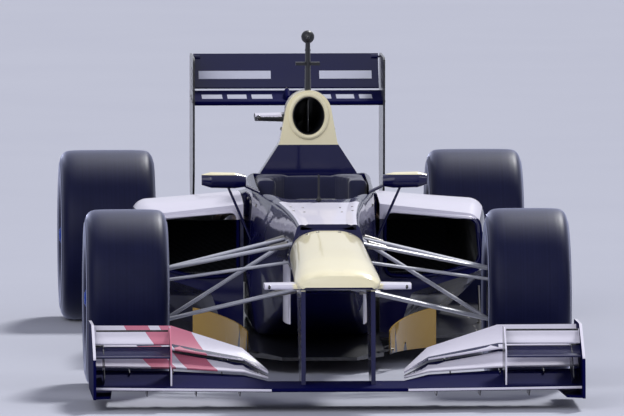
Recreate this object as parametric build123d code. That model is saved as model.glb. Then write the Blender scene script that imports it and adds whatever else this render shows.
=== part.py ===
from build123d import *
import math
import os

# Open wheel racing car with a high stepped nose, a full width front wing and a tall narrow rear wing.
# The car faces -Y, its left side is +X and the ground is Z = 0. The origin is on the ground, half way
# along the car. All lengths are in millimetres.

os.makedirs("parts", exist_ok=True)

# Driving dimensions of the whole car
wheelbase = 3150
front_overhang = 1150
rear_overhang = 600
overall_width = 1800
tyre_diameter = 660
front_tyre_width = 310
rear_tyre_width = 370
bead_diameter = 330
underside_z = 50  # lowest face of the floor, above the plank
plank_thickness = 10
step_height = 40  # the floor beside the centre is this much higher
floor_thickness = 10
chassis_wall = 18
shell_wall = 8
fit_gap = 0.3  # between curved faces that seat on each other
running_gap = 0.5  # round a pin or axle that turns

# Stations along the car
front_axle_y = front_overhang - (front_overhang + wheelbase + rear_overhang) / 2
rear_axle_y = front_axle_y + wheelbase
wing_front_y = front_axle_y - front_overhang
tail_y = rear_axle_y + rear_overhang
bulkhead_y = front_axle_y - 180
nose_tip_y = front_axle_y - 1050
tray_front_y = front_axle_y + 540
cockpit_front_y = front_axle_y + 700
dash_y = front_axle_y + 660
pod_front_y = front_axle_y + 1240
hoop_y = front_axle_y + 1500
tank_rear_y = front_axle_y + 2050
shell_tail_y = rear_axle_y - 150
gearbox_front_y = tank_rear_y + 540
gearbox_rear_y = rear_axle_y + 200
diffuser_rear_y = rear_axle_y + 350

# Heights and half widths that several pieces share
half_width = overall_width / 2
wheel_z = tyre_diameter / 2
floor_top_z = underside_z + step_height + floor_thickness
floor_half = 700
tail_floor_half = rear_floor_half = half_width - rear_tyre_width - 30
hoop_top_z = 1000
cockpit_half = 212


def across(y):
    """Drawing plane that stands across the car at station y: drawn x is +X, drawn y is +Z."""
    return Plane(origin=(0, y, 0), x_dir=(1, 0, 0), z_dir=(0, -1, 0))


def along(x):
    """Drawing plane that stands along the car at station x: drawn x is +Y, drawn y is +Z."""
    return Plane(origin=(x, 0, 0), x_dir=(0, 1, 0), z_dir=(1, 0, 0))


def outline(plane, points, radii=0.0):
    """Closed face of straight runs with a fillet at each point."""
    if isinstance(radii, (int, float)):
        radii = [radii] * len(points)
    return plane * make_face(FilletPolyline(*points, radius=radii, close=True))


def both_halves(points):
    """A right half outline, from the bottom to the top, and its mirror image back to the bottom."""
    return list(points) + [(-x, z) for x, z in reversed(points)]


def panel(points, x_from, x_to, radii=0.0):
    """Plate that stands along the car, drawn as (y, z) points, between two x values."""
    return extrude(outline(along(x_from), points, radii), amount=x_to - x_from, dir=(1, 0, 0))


def sheet(points, z_from, z_to, radii=0.0):
    """Level plate, drawn as (x, y) points, between two heights."""
    return extrude(outline(Plane.XY.offset(z_from), points, radii), amount=z_to - z_from)


def block(x_span, y_span, z_span):
    """Plain block between three pairs of limits."""
    centre = [(a + b) / 2 for a, b in (x_span, y_span, z_span)]
    size = [b - a for a, b in (x_span, y_span, z_span)]
    return Pos(*centre) * Box(*size)


def strut(start, end, chord, thickness):
    """Streamlined bar between two points, with its chord as near to the direction of travel as it goes."""
    run = Vector(*end) - Vector(*start)
    forward = Vector(0, 1, 0)
    chord_way = forward - run * (forward.dot(run) / run.dot(run))
    plane = Plane(origin=start, x_dir=chord_way, z_dir=run)
    return extrude(plane * Ellipse(chord / 2, thickness / 2), amount=run.length)


def rod(start, end, radius):
    """Round bar between two points."""
    run = Vector(*end) - Vector(*start)
    return extrude(Plane(origin=start, z_dir=run) * Circle(radius), amount=run.length)


def other_side(shape):
    """The same shape on the car's other side."""
    return mirror(shape, about=Plane.YZ)


def largest(shape):
    """The largest solid of a shape that a cut has left in several pieces."""
    return max(shape.solids(), key=lambda s: s.volume)


def save(node, *shapes):
    """Writes one sub-part, whose shapes may be several solids that don't touch."""
    solids = [s for shape in shapes for s in shape.solids()]
    export_step(Compound(children=solids), f"parts/{node}.step")


# Monocoque: a carbon tub, hollow from the front bulkhead to the back of the seat

tub_columns = ("y", "z_bottom", "z_waist", "z_top", "bottom", "waist", "top", "dip", "corner")
tub_stations = [
    (bulkhead_y, 372, 485, 618, 95, 150, 112, 10, 22),
    (bulkhead_y + 200, 362, 481, 629, 104, 158, 119, 10, 24),
    (bulkhead_y + 400, 335, 470, 638, 115, 172, 130, 10, 26),
    (bulkhead_y + 640, 276, 451, 645, 129, 198, 146, 9, 29),
    (cockpit_front_y, 205, 420, 652, 150, 225, 168, 8, 32),
    (cockpit_front_y + 200, 146, 372, 659, 184, 240, 199, 6, 34),
    (cockpit_front_y + 400, floor_top_z, 330, 668, 215, 250, 226, 4, 36),
    (hoop_y, floor_top_z, 330, 690, 225, 250, 236, 4, 36),
]
ridge_width = 45  # from the edge of the top to the valley between the two ridges
tank_top_z = 520
tank_half = 222


def tub_face(station, wall=0.0):
    """One cross section of the tub, or of its inside when a wall is taken off."""
    s = dict(zip(tub_columns, station))
    half = [
        (s["bottom"] - wall, s["z_bottom"] + wall),
        (s["waist"] - wall, s["z_waist"]),
        (s["top"] - wall, s["z_top"] - wall),
        (s["top"] - wall - ridge_width, s["z_top"] - wall - s["dip"]),
    ]
    corner = max(s["corner"] - wall, 4)
    radii = [corner, 1.6 * corner, 0.9 * corner, 8]
    return outline(across(s["y"]), both_halves(half), radii + radii[::-1])


def tub_outside():
    return loft([tub_face(s) for s in tub_stations], ruled=True)


def tub_inside():
    """The hollow of the tub, with a dash bulkhead left standing across it."""
    hollow = loft([tub_face(s, chassis_wall) for s in tub_stations], ruled=True)
    reach = half_width
    hollow -= block((-reach, reach), (bulkhead_y, bulkhead_y + chassis_wall), (0, hoop_top_z))
    hollow -= block((-reach, reach), (hoop_y - chassis_wall, hoop_y), (0, hoop_top_z))
    dash = block((-reach, reach), (dash_y - 12, dash_y), (0, hoop_top_z))
    legs = [(110, 300), (125, 470), (-125, 470), (-110, 300)]
    leg_room = extrude(outline(across(dash_y + 1), legs, 30), amount=14, dir=(0, -1, 0))
    return hollow - (dash - leg_room)


def cockpit_cut():
    """The opening that the driver gets in by, seen from above."""
    half = [
        (122, cockpit_front_y),
        (cockpit_half - 10, cockpit_front_y + 230),
        (cockpit_half, cockpit_front_y + 430),
        (cockpit_half, hoop_y - chassis_wall),
    ]
    plan = half + [(-x, y) for x, y in reversed(half)]
    radii = [60, 60, 60, 12]
    return sheet(plan, 500, hoop_top_z, radii + radii[::-1])


tub = tub_outside()
tank = extrude(
    outline(across(hoop_y), both_halves([(tank_half, floor_top_z), (tank_half, tank_top_z)]), 18),
    amount=tank_rear_y - hoop_y,
    dir=(0, 1, 0),
)
column_axis = Vector(0, math.cos(math.radians(14)), math.sin(math.radians(14)))
wheel_centre = Vector(0, dash_y + 150, 560)
column_radius = 15
column_start = wheel_centre - column_axis * 330
column_hole = rod(tuple(column_start), tuple(wheel_centre), column_radius + running_gap)
slot_half = 104
slot_height = 18
slot_z = tub_stations[0][3] - 24
driver_slot = block(
    (-slot_half, slot_half), (bulkhead_y - 1, bulkhead_y + 60), (slot_z, slot_z + slot_height)
)
pedal_hatch = extrude(
    outline(across(bulkhead_y - 1), [(-74, 410), (74, 410), (78, 500), (74, 560), (-74, 560), (-78, 500)], 20),
    amount=chassis_wall + 4, dir=(0, 1, 0),
)
rack_y = front_axle_y - 90
rack_hole = strut((60, rack_y, 480), (260, rack_y, 451), 50, 34)
monocoque = tub + tank - tub_inside() - cockpit_cut() - column_hole - driver_slot - pedal_hatch
monocoque = monocoque - rack_hole - other_side(rack_hole)
save("monocoque", monocoque)

# Nose cone: a rounded loaf with a flat belly, a little lower than the tub, so that a step shows

nose_columns = (
    "y", "bottom_x", "bottom_z", "waist_x", "waist_z", "shoulder_x", "shoulder_z", "crown_x", "crown_z",
)
nose_stations = [
    (bulkhead_y, 95, 372, 150, 485, 124, 564, 62, 592),
    (bulkhead_y - 300, 112, 396, 156, 476, 127, 544, 62, 567),
    (bulkhead_y - 600, 130, 418, 162, 467, 130, 521, 62, 541),
    (nose_tip_y + 110, 143, 431, 164, 461, 130, 501, 60, 518),
    (nose_tip_y + 30, 142, 436, 158, 459, 124, 490, 56, 503),
    (nose_tip_y + 6, 134, 442, 148, 459, 115, 480, 50, 490),
    (nose_tip_y, 125, 448, 138, 459, 105, 472, 45, 479),
]


def full_radii(points, shares):
    """Fillet radii that use up a share of the shorter side at each corner."""
    radii = []
    for i, here in enumerate(points):
        side_in = Vector(*here) - Vector(*points[i - 1])
        side_out = Vector(*points[(i + 1) % len(points)]) - Vector(*here)
        half_turn = math.radians(side_in.get_angle(side_out)) / 2
        radii.append(shares[i] * min(side_in.length, side_out.length) / math.tan(half_turn))
    return radii


def nose_face(station):
    s = dict(zip(nose_columns, station))
    points = both_halves([(s[f"{n}_x"], s[f"{n}_z"]) for n in ("bottom", "waist", "shoulder", "crown")])
    shares = [0.25, 0.48, 0.48, 0.48]
    return outline(across(s["y"]), points, full_radii(points, shares + shares[::-1]))


nose = loft([nose_face(s) for s in nose_stations], ruled=True)
pylon_x = 128
pylon_thickness = 16
camera_span = 105
camera_z = 446

# Front wing: a neutral middle that the pylons hold, and two flaps on each side

wing_le_z = 80
nose_radius = 7  # leading edge of the main plane
flap_gap = 15
flap_overlap = 20
wing_tip_x = half_width - 10
wing_columns = ("x", "setback", "chord", "pitch", "flap_1", "pitch_1", "flap_2", "pitch_2")
wing_stations = [
    (250, 0, 320, 1.0, 34, 6, 30, 12),
    (340, 14, 300, 5.5, 78, 18, 84, 26),
    (600, 48, 270, 9.5, 108, 26, 126, 38),
    (wing_tip_x, 90, 235, 12.0, 100, 28, 118, 40),
]


def foil(x, y, z, chord, pitch, thickness, camber, nose_r):
    """Upside-down wing section of two arcs, with a round nose and a square tail."""
    tail = 1.5
    turn = math.radians(pitch)

    def at(u, v):
        return (y + u * math.cos(turn) - v * math.sin(turn), z + u * math.sin(turn) + v * math.cos(turn))

    lower = ThreePointArc(at(chord, -tail), at(0.45 * chord, -camber - thickness / 2), at(0, -nose_r))
    nose_arc = ThreePointArc(at(0, -nose_r), at(-nose_r, 0), at(0, nose_r))
    upper = ThreePointArc(at(0, nose_r), at(0.45 * chord, thickness / 2 - camber), at(chord, tail))
    end = Line(at(chord, tail), at(chord, -tail))
    return along(x) * make_face([lower, nose_arc, upper, end])


def wing_element(station, number):
    """The leading edge, chord and pitch of element 0, 1 or 2 at one station."""
    s = dict(zip(wing_columns, station))
    y = wing_front_y + nose_radius + s["setback"]
    z = wing_le_z
    chord, pitch = s["chord"], s["pitch"]
    for k in range(1, number + 1):
        y += chord * math.cos(math.radians(pitch)) - flap_overlap
        z += chord * math.sin(math.radians(pitch)) + flap_gap
        chord, pitch = s[f"flap_{k}"], s[f"pitch_{k}"]
    return s["x"], y, z, chord, pitch


def wing_face(station, number, side=1):
    x, y, z, chord, pitch = wing_element(station, number)
    thickness = 18 if number == 0 else 0.07 * chord + 3
    camber = 0.004 * pitch * chord if number == 0 else 0.07 * chord
    return foil(side * x, y, z, chord, pitch, thickness, camber, nose_radius if number == 0 else 4)


main_plane = loft(
    [wing_face(s, 0, -1) for s in reversed(wing_stations)] + [wing_face(s, 0) for s in wing_stations],
    ruled=True,
)
save("front_wing_main_plane", main_plane)
front_flaps = [loft([wing_face(s, k) for s in wing_stations], ruled=True) for k in (1, 2)]

# Cascades: small winglets above the main plane, held by the endplate and by a fin of their own
cascade_x = 610
cascade_y = wing_front_y + 115
cascade_z = 192
fin_thickness = 6


def cascade_face(x, number):
    y, z, chord, pitch = cascade_y, cascade_z, 118, 15
    if number:
        y += chord * math.cos(math.radians(pitch)) - 12
        z += chord * math.sin(math.radians(pitch)) + 12
        chord, pitch = 74, 38
    return foil(x, y, z, chord, pitch, 9, 0.06 * chord, 3.5)


cascades = [
    loft([cascade_face(cascade_x + fin_thickness, k), cascade_face(wing_tip_x, k)], ruled=True)
    for k in (0, 1)
]
fin_points = [
    (cascade_y - 20, 86),
    (cascade_y - 16, 218),
    (cascade_y + 110, 292),
    (cascade_y + 185, 292),
    (cascade_y + 165, 106),
]
cascade_fin = largest(
    panel(fin_points, cascade_x, cascade_x + fin_thickness, [0, 20, 25, 12, 0]) - main_plane
)
left_flaps = front_flaps + cascades + [cascade_fin]
save("front_wing_flaps", *left_flaps, *[other_side(f) for f in left_flaps])

# Front wing endplates, each with the footplate that runs along its lower edge
endplate_front_y = wing_front_y + 18
endplate_points = [
    (endplate_front_y, 44),
    (endplate_front_y + 545, 44),
    (endplate_front_y + 600, 130),
    (endplate_front_y + 585, 292),
    (endplate_front_y + 250, 300),
    (endplate_front_y + 20, 190),
]
endplate = panel(endplate_points, wing_tip_x, half_width, [8, 30, 30, 30, 60, 40])
foot_points = [
    (wing_tip_x, endplate_front_y + 30),
    (wing_tip_x, endplate_front_y + 545),
    (wing_tip_x - 75, endplate_front_y + 545),
    (wing_tip_x - 55, endplate_front_y + 60),
]
footplate = sheet(foot_points, 44, 52, [0, 0, 25, 25])
front_endplate = endplate + footplate
save("front_wing_endplates", front_endplate, other_side(front_endplate))

# Pylons and side pods that belong to the nose
pylon_points = [
    (wing_front_y + 120, wing_le_z),
    (wing_front_y + 300, wing_le_z),
    (wing_front_y + 560, 460),
    (wing_front_y + 150, 470),
]
pylon = panel(pylon_points, pylon_x - pylon_thickness / 2, pylon_x + pylon_thickness / 2) - main_plane
pylon = max((pylon - nose).solids(), key=lambda s: s.volume)
nose_camera = loft(
    [
        foil(130, nose_tip_y + 60, camera_z, 170, 0, 26, 0, 11),
        foil(163 + camera_span, nose_tip_y + 60, camera_z, 150, 0, 22, 0, 9),
    ],
    ruled=True,
)
nose_cone = nose + pylon + other_side(pylon) + nose_camera + other_side(nose_camera)
save("nose_cone", nose_cone)

# Bodywork behind the cockpit: one skin, cut into two sidepods and an engine cover

skin_columns = (
    "y", "foot_x", "low_x", "low_z", "mid_x", "mid_z", "top_x", "top_z",
    "valley_x", "valley_z", "spine_x", "spine_z", "crest_x", "crest_z",
)
split_x = 258  # inner edge of the sidepods
split_y = hoop_y + 500  # the engine cover starts behind here
skin_stations = [
    (pod_front_y, 330, 380, 250, 662, 340, 640, 546, 235, 590, 110, 800, 74, hoop_top_z),
    (pod_front_y + 150, 350, 418, 235, 685, 330, 656, 577, 236, 603, 110, 800, 74, hoop_top_z),
    (hoop_y + 50, 380, 460, 220, 698, 315, 662, 584, 235, 609, 110, 800, 74, hoop_top_z),
    (hoop_y + 275, 455, 542, 198, 700, 288, 656, 566, 222, 604, 102, 790, 68, 985),
    (split_y, 510, 598, 180, 688, 266, 622, 530, 200, 590, 88, 762, 58, 948),
    (split_y + 225, 486, 550, 168, 606, 252, 535, 477, 166, 560, 72, 722, 47, 885),
    (split_y + 450, 420, 470, 160, 505, 245, 425, 445, 130, 525, 57, 668, 36, 800),
    (split_y + 725, 335, 370, 157, 390, 237, 315, 400, 96, 478, 42, 575, 26, 655),
    (shell_tail_y, 240, 262, 158, 275, 230, 222, 350, 70, 420, 32, 452, 18, 480),
]
skin_radii = [0, 30, 60, 60, 70, 50]
crest_roundness = 1.15  # radius of the crest over its half width
intake_z = 904


def inset(points, wall):
    """The same outline moved inwards by a wall thickness; the points run anticlockwise."""
    moved = []
    for i, here in enumerate(points):
        before, after = points[i - 1], points[(i + 1) % len(points)]
        a = (Vector(*here) - Vector(*before)).normalized()
        b = (Vector(*after) - Vector(*here)).normalized()
        normal_a, normal_b = Vector(-a.Y, a.X), Vector(-b.Y, b.X)
        way = normal_a + normal_b
        step = way * (wall / max(0.3, 1 + normal_a.dot(normal_b)))
        moved.append((here[0] + step.X, here[1] + step.Y))
    return moved


def skin_face(station, wall=0.0):
    """One cross section of the bodywork, or of its inside; the open foot stands on the floor."""
    s = dict(zip(skin_columns, station))
    names = ("low", "mid", "top", "valley", "spine", "crest")
    half = [(s["foot_x"], floor_top_z)] + [(s[f"{n}_x"], s[f"{n}_z"]) for n in names]
    half_radii = skin_radii + [crest_roundness * s["crest_x"] - wall]
    points, radii = both_halves(half), half_radii + half_radii[::-1]
    if wall:
        points = inset(points, wall)
        points[0] = (points[0][0], floor_top_z)
        points[-1] = (points[-1][0], floor_top_z)
    return outline(across(s["y"]), points, radii)


skin_outside = loft([skin_face(s) for s in skin_stations], ruled=True)
skin_inside = loft([skin_face(s, shell_wall) for s in skin_stations], ruled=True)
tall = (-10, hoop_top_z + 100)
pod_wall = block((split_x, half_width), (pod_front_y - 5, pod_front_y + shell_wall), tall)
hoop_wall = block((-split_x, split_x), (pod_front_y - 5, hoop_y + shell_wall), tall)
inlet_points = [(284, 322), (430, 316), (634, 366), (618, 524), (284, 556)]
inlet = extrude(
    outline(across(pod_front_y - 1), inlet_points, [22, 30, 36, 30, 22]), amount=20, dir=(0, 1, 0)
)
intake = extrude(
    across(hoop_y - 1) * Pos(0, intake_z) * Ellipse(60, 72), amount=20, dir=(0, 1, 0)
)
cockpit_room = block((-split_x, split_x), (pod_front_y - 5, hoop_y), tall)
tank_room = block((-split_x, split_x), (hoop_y - 1, tank_rear_y), (0, tank_top_z + 4))
skin = skin_outside - (skin_inside - pod_wall - other_side(pod_wall) - hoop_wall)
skin = skin - inlet - other_side(inlet) - intake - cockpit_room - tank_room
left_pod_room = block((split_x, half_width), (pod_front_y - 5, split_y), tall)
sidepod_left = largest(skin & left_pod_room)
sidepod_right = other_side(sidepod_left)

# Exhausts: one tail pipe each side, out through the back of the engine cover
pipe_start, pipe_end = (255, hoop_y + 930, 425), (310, hoop_y + 1230, 452)
exhaust_pipe = rod(pipe_start, pipe_end, 38) - rod(pipe_start, pipe_end, 34)
pipe_hole = rod(pipe_start, pipe_end, 44)
save("exhausts", exhaust_pipe, other_side(exhaust_pipe))

engine_cover = skin - left_pod_room - other_side(left_pod_room) - pipe_hole - other_side(pipe_hole)
engine_cover = largest(engine_cover)
save("sidepod_left", sidepod_left)
save("sidepod_right", sidepod_right)
save("engine_cover", engine_cover)

# Radiators lean back inside the pods, against the sides of the tank
radiator_points = [(hoop_y + 30, 270), (hoop_y + 84, 270), (hoop_y + 270, 490), (hoop_y + 216, 490)]
radiator = panel(radiator_points, tank_half, 530)
save("radiators", radiator, other_side(radiator))

# Engine and gearbox carry the rear of the car
engine_half = [(120, floor_top_z), (150, 180), (232, 330), (218, 420), (140, 440)]
engine = extrude(
    outline(across(tank_rear_y), both_halves(engine_half), 8),
    amount=gearbox_front_y - tank_rear_y,
    dir=(0, 1, 0),
)
save("engine", engine)

gearbox_columns = ("y", "half", "z_bottom", "z_top")
gearbox_stations = [
    (gearbox_front_y, 150, 130, 430),
    (gearbox_front_y + 200, 118, 150, 396),
    (rear_axle_y, 96, 175, 386),
    (gearbox_rear_y, 72, 215, 378),
]


def gearbox_face(station):
    s = dict(zip(gearbox_columns, station))
    half = [(s["half"] - 20, s["z_bottom"]), (s["half"], s["z_bottom"] + 40), (s["half"], s["z_top"] - 30),
            (s["half"] - 30, s["z_top"])]
    return outline(across(s["y"]), both_halves(half), 8)


gearbox = loft([gearbox_face(s) for s in gearbox_stations], ruled=True)
save("gearbox", gearbox)

crash_front = outline(across(gearbox_rear_y), [(-62, 240), (62, 240), (62, 370), (-62, 370)], 14)
crash_rear = outline(across(tail_y - 50), [(-48, 255), (48, 255), (48, 352), (-48, 352)], 12)
starter_radius = 11
starter_length = 60
starter_z = 276
starter_bore = rod((0, tail_y - 50 - starter_length, starter_z), (0, tail_y - 49, starter_z), starter_radius)
crash_structure = loft([crash_front, crash_rear], ruled=True) - starter_bore
rain_light = block((-40, 40), (tail_y - 50, tail_y), (294, 346))
save("rear_crash_structure", crash_structure)
save("rain_light", rain_light)

# Floor: a thick centre under the chassis with a bevelled tray in front, and a thin step each side
keel_half = 250
keel_rear_y = rear_axle_y - 260  # the thick centre ends here, ahead of the diffuser
tray_points = [
    (tray_front_y, underside_z),
    (keel_rear_y, underside_z),
    (keel_rear_y, floor_top_z),
    (dash_y + 440, floor_top_z),
    (tray_front_y, underside_z + 12),
]
keel = panel(tray_points, -keel_half, keel_half)
tray_corner = sheet([(-400, tray_front_y - 1), (-keel_half + 110, tray_front_y - 1),
                     (-keel_half - 1, tray_front_y + 190), (-400, tray_front_y + 190)], 0, 200)
keel = keel - tray_corner - other_side(tray_corner)
step_left = [
    (keel_half, dash_y + 330),
    (400, dash_y + 380),
    (floor_half - 40, pod_front_y - 60),
    (floor_half, pod_front_y + 60),
    (floor_half, rear_axle_y - 520),
    (tail_floor_half, rear_axle_y - 370),
    (tail_floor_half, rear_axle_y - 60),
    (keel_half, rear_axle_y - 60),
]
step_plate = sheet(
    step_left, floor_top_z - floor_thickness, floor_top_z, [0, 60, 60, 60, 60, 60, 0, 0]
)
bay_floor = sheet(
    [(-keel_half, keel_rear_y), (keel_half, keel_rear_y),
     (keel_half, rear_axle_y - 60), (-keel_half, rear_axle_y - 60)],
    floor_top_z - floor_thickness, floor_top_z,
)
floor = keel + step_plate + other_side(step_plate) + bay_floor
save("floor", floor)

plank_half = 150
plank = sheet(
    both_halves([(plank_half, tray_front_y + 120), (plank_half, rear_axle_y - 310)]),
    underside_z - plank_thickness, underside_z, 40,
)
save("plank", plank)

# Diffuser behind the floor: a rising roof with side walls and four fences
diffuser_front_y = rear_axle_y - 60
diffuser_top_z = 178
roof_points = [
    (diffuser_front_y, floor_top_z - floor_thickness),
    (diffuser_rear_y, diffuser_top_z - 8),
    (diffuser_rear_y, diffuser_top_z + 14),
    (diffuser_rear_y - 6, diffuser_top_z + 14),
    (diffuser_rear_y - 6, diffuser_top_z),
    (diffuser_front_y, floor_top_z),
]
diffuser = panel(roof_points, -tail_floor_half, tail_floor_half)
fence_points = [
    (diffuser_front_y + 20, 88),
    (diffuser_front_y + 60, 66),
    (diffuser_rear_y, 66),
    (diffuser_rear_y, diffuser_top_z),
]
for fence_x in (168, 335, tail_floor_half - 6):
    fence = panel(fence_points, fence_x, fence_x + 6)
    diffuser = diffuser + fence + other_side(fence)
save("diffuser", diffuser)

# Rear wing: a main plane between two endplates, a flap that opens, and a beam wing below
rear_wing_half = 375
rear_plate = 8
rear_wing_front_y = tail_y - 490
plate_points = [
    (rear_wing_front_y, 560),
    (rear_wing_front_y - 10, 1000),
    (rear_wing_front_y + 14, 1010),
    (rear_wing_front_y + 340, 1010),
    (rear_wing_front_y + 352, 560),
    (rear_wing_front_y + 300, 430),
    (diffuser_rear_y + 40, diffuser_top_z - 40),
    (diffuser_rear_y - 120, diffuser_top_z - 40),
    (rear_wing_front_y + 60, 420),
]
rear_endplate = panel(
    plate_points, rear_wing_half - rear_plate, rear_wing_half, [80, 10, 20, 40, 60, 80, 20, 20, 80]
)
for k in range(4):
    louvre_z = 948 - 24 * k
    louvre = panel(
        [(rear_wing_front_y + 10, louvre_z), (rear_wing_front_y + 150, louvre_z + 14),
         (rear_wing_front_y + 150, louvre_z + 20), (rear_wing_front_y + 10, louvre_z + 6)],
        rear_wing_half - rear_plate - 1, rear_wing_half + 1,
    )
    rear_endplate -= louvre
rear_inner = rear_wing_half - rear_plate
pivot_y, pivot_z = rear_wing_front_y + 308, 995
pin_radius = 4
pin_hole = rod((rear_inner - 1, pivot_y, pivot_z), (rear_wing_half + 1, pivot_y, pivot_z),
               pin_radius + running_gap)
roof_cut = panel(roof_points, -tail_floor_half, tail_floor_half)
rear_endplate = rear_endplate - pin_hole - roof_cut
rear_endplate = largest(rear_endplate)
save("rear_wing_endplates", rear_endplate, other_side(rear_endplate))

rear_main = extrude(
    foil(-rear_inner, rear_wing_front_y + 16, 833, 226, 8.5, 24, 12, 8),
    amount=2 * rear_inner, dir=(1, 0, 0),
)
flap_chord = 150
flap_pitch = 58
pivot_from_tail = 14
flap_start_y = pivot_y - (flap_chord - pivot_from_tail) * math.cos(math.radians(flap_pitch))
flap_start_z = pivot_z - (flap_chord - pivot_from_tail) * math.sin(math.radians(flap_pitch))
flap_side_gap = 5
rear_flap = extrude(
    foil(-rear_inner + flap_side_gap, flap_start_y, flap_start_z, flap_chord, flap_pitch, 12, 10, 5),
    amount=2 * (rear_inner - flap_side_gap), dir=(1, 0, 0),
)
for side in (-1, 1):
    rear_flap += rod((side * 335, pivot_y, pivot_z), (side * (rear_inner - flap_side_gap), pivot_y, pivot_z), 8)
    rear_flap += rod((side * 335, pivot_y, pivot_z), (side * (rear_inner + 6), pivot_y, pivot_z), pin_radius)
save("rear_wing_flap", rear_flap)

actuator = loft([
    across(rear_wing_front_y + 40) * Pos(0, 850) * Ellipse(9, 11),
    across(rear_wing_front_y + 110) * Pos(0, 858) * Ellipse(15, 19),
    across(rear_wing_front_y + 185) * Pos(0, 866) * Ellipse(11, 13),
], ruled=True)
save("rear_wing_main_plane", rear_main + actuator)

beam_wing = extrude(
    foil(-rear_inner, rear_wing_front_y + 100, 412, 190, 8, 16, 9, 6), amount=2 * rear_inner, dir=(1, 0, 0)
)
saddle = block((-34, 34), (rear_wing_front_y + 130, rear_wing_front_y + 250), (340, 412))
save("beam_wing", beam_wing + (saddle - crash_structure - beam_wing))

# Wheels: one design for the front pair and a wider one for the rear pair


def turned(points, radii, centre_x, y):
    """Ring turned about the wheel's axis; drawn as (offset from the wheel's middle, radius)."""
    face = make_face(FilletPolyline(*points, radius=radii, close=True))
    return Pos(centre_x, y, wheel_z) * revolve(face, Axis.X)


def tyre(width, centre_x, y):
    half, bead, tread = width / 2, bead_diameter / 2, tyre_diameter / 2
    seat = half - 21
    outer = [(-seat, bead), (-seat, bead + 14), (-half, bead + 64), (-half + 4, tread - 30), (-half + 26, tread),
             (half - 26, tread), (half - 4, tread - 30), (half, bead + 64), (seat, bead + 14), (seat, bead)]
    inner = [(seat - 16, bead), (seat - 16, bead + 16), (half - 14, bead + 66), (half - 18, tread - 36),
             (half - 36, tread - 14), (-half + 36, tread - 14), (-half + 18, tread - 36),
             (-half + 14, bead + 66), (-seat + 16, bead + 16), (-seat + 16, bead)]
    radii = [0, 4, 40, 30, 18, 18, 30, 40, 4, 0]
    return turned(outer + inner, radii + radii, centre_x, y)


def rim(width, centre_x, y, axle_in):
    """Wheel rim with a spoked outer face and the axle that turns in the upright."""
    seat, bead = width / 2 - 21, bead_diameter / 2
    half = seat + 6
    barrel = [(-half, bead + 12), (-seat, bead + 12), (-seat, bead), (seat, bead), (seat, bead + 12),
              (half, bead + 12), (half, bead - 8), (-half, bead - 8)]
    face_out = half - 8
    disc = [(face_out - 22, 0), (face_out - 4, 0), (face_out - 4, 50), (face_out, bead - 7),
            (face_out - 10, bead - 7), (face_out - 22, 50)]
    axle = [(-axle_in, 0), (-axle_in, 30), (face_out - 20, 30), (face_out - 20, 0)]
    spoked = turned(disc, 0, 0, 0)
    window = Plane.YZ.offset(face_out - 40) * Pos(0, 104) * RectangleRounded(40, 66, 14)
    window = Pos(0, 0, wheel_z) * extrude(window, amount=60)
    for k in range(10):
        spoked -= Pos(0, 0, wheel_z) * Rot(36 * k, 0, 0) * Pos(0, 0, -wheel_z) * window
    shape = turned(barrel, 0, 0, 0) + spoked + turned(axle, 0, 0, 0)
    return Pos(centre_x, y, 0) * shape


front_centre_x = half_width - front_tyre_width / 2
rear_centre_x = half_width - rear_tyre_width / 2
front_axle_in = 56
rear_axle_in = 60
front_tyre = tyre(front_tyre_width, front_centre_x, front_axle_y)
rear_tyre = tyre(rear_tyre_width, rear_centre_x, rear_axle_y)
front_rim = rim(front_tyre_width, front_centre_x, front_axle_y, front_axle_in)
rear_rim = rim(rear_tyre_width, rear_centre_x, rear_axle_y, rear_axle_in)
for name, shape in (("front_tyre", front_tyre), ("rear_tyre", rear_tyre),
                    ("front_rim", front_rim), ("rear_rim", rear_rim)):
    save(f"{name}_left", shape)
    save(f"{name}_right", other_side(shape))

# Uprights: a brake drum round the axle, with a forked lug above and below for the wishbones
drum_radius = 145
eye_radius = 14
eye_height = 24
pin_size = 5
joint_spread = 95


def forked_lug(pin_x, y, z, back_x, gap):
    """Two cheeks above and below a wishbone's eye, joined behind it, and the pin through them."""
    half, cheek = eye_height / 2 + gap, 10
    lug = sheet([(pin_x, y - eye_radius), (back_x, y - 26), (back_x, y + 26), (pin_x, y + eye_radius)],
                z - half - cheek, z + half + cheek)
    lug += rod((pin_x, y, z - half - cheek), (pin_x, y, z + half + cheek), eye_radius)
    lug -= sheet([(pin_x - eye_radius - 2, y - 40), (pin_x + eye_radius + 4, y - 40),
                  (pin_x + eye_radius + 4, y + 40), (pin_x - eye_radius - 2, y + 40)], z - half, z + half)
    return lug + rod((pin_x, y, z - half - 1), (pin_x, y, z + half + 1), pin_size)


def upright(centre_x, y, drum_in, drum_out, pin_x, gap, bore_length):
    back = centre_x - drum_in
    bore = 30 + running_gap
    drum = [(-drum_in, bore), (-drum_in, drum_radius), (drum_out, drum_radius), (drum_out, drum_radius - 6),
            (-drum_in + 12, drum_radius - 6), (-drum_in + 12, 52), (bore_length, 52), (bore_length, bore)]
    shape = turned(drum, 0, centre_x, y)
    for sign in (-1, 1):
        shape += forked_lug(pin_x, y, wheel_z + sign * joint_spread, back + 1, gap)
    return shape


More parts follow.
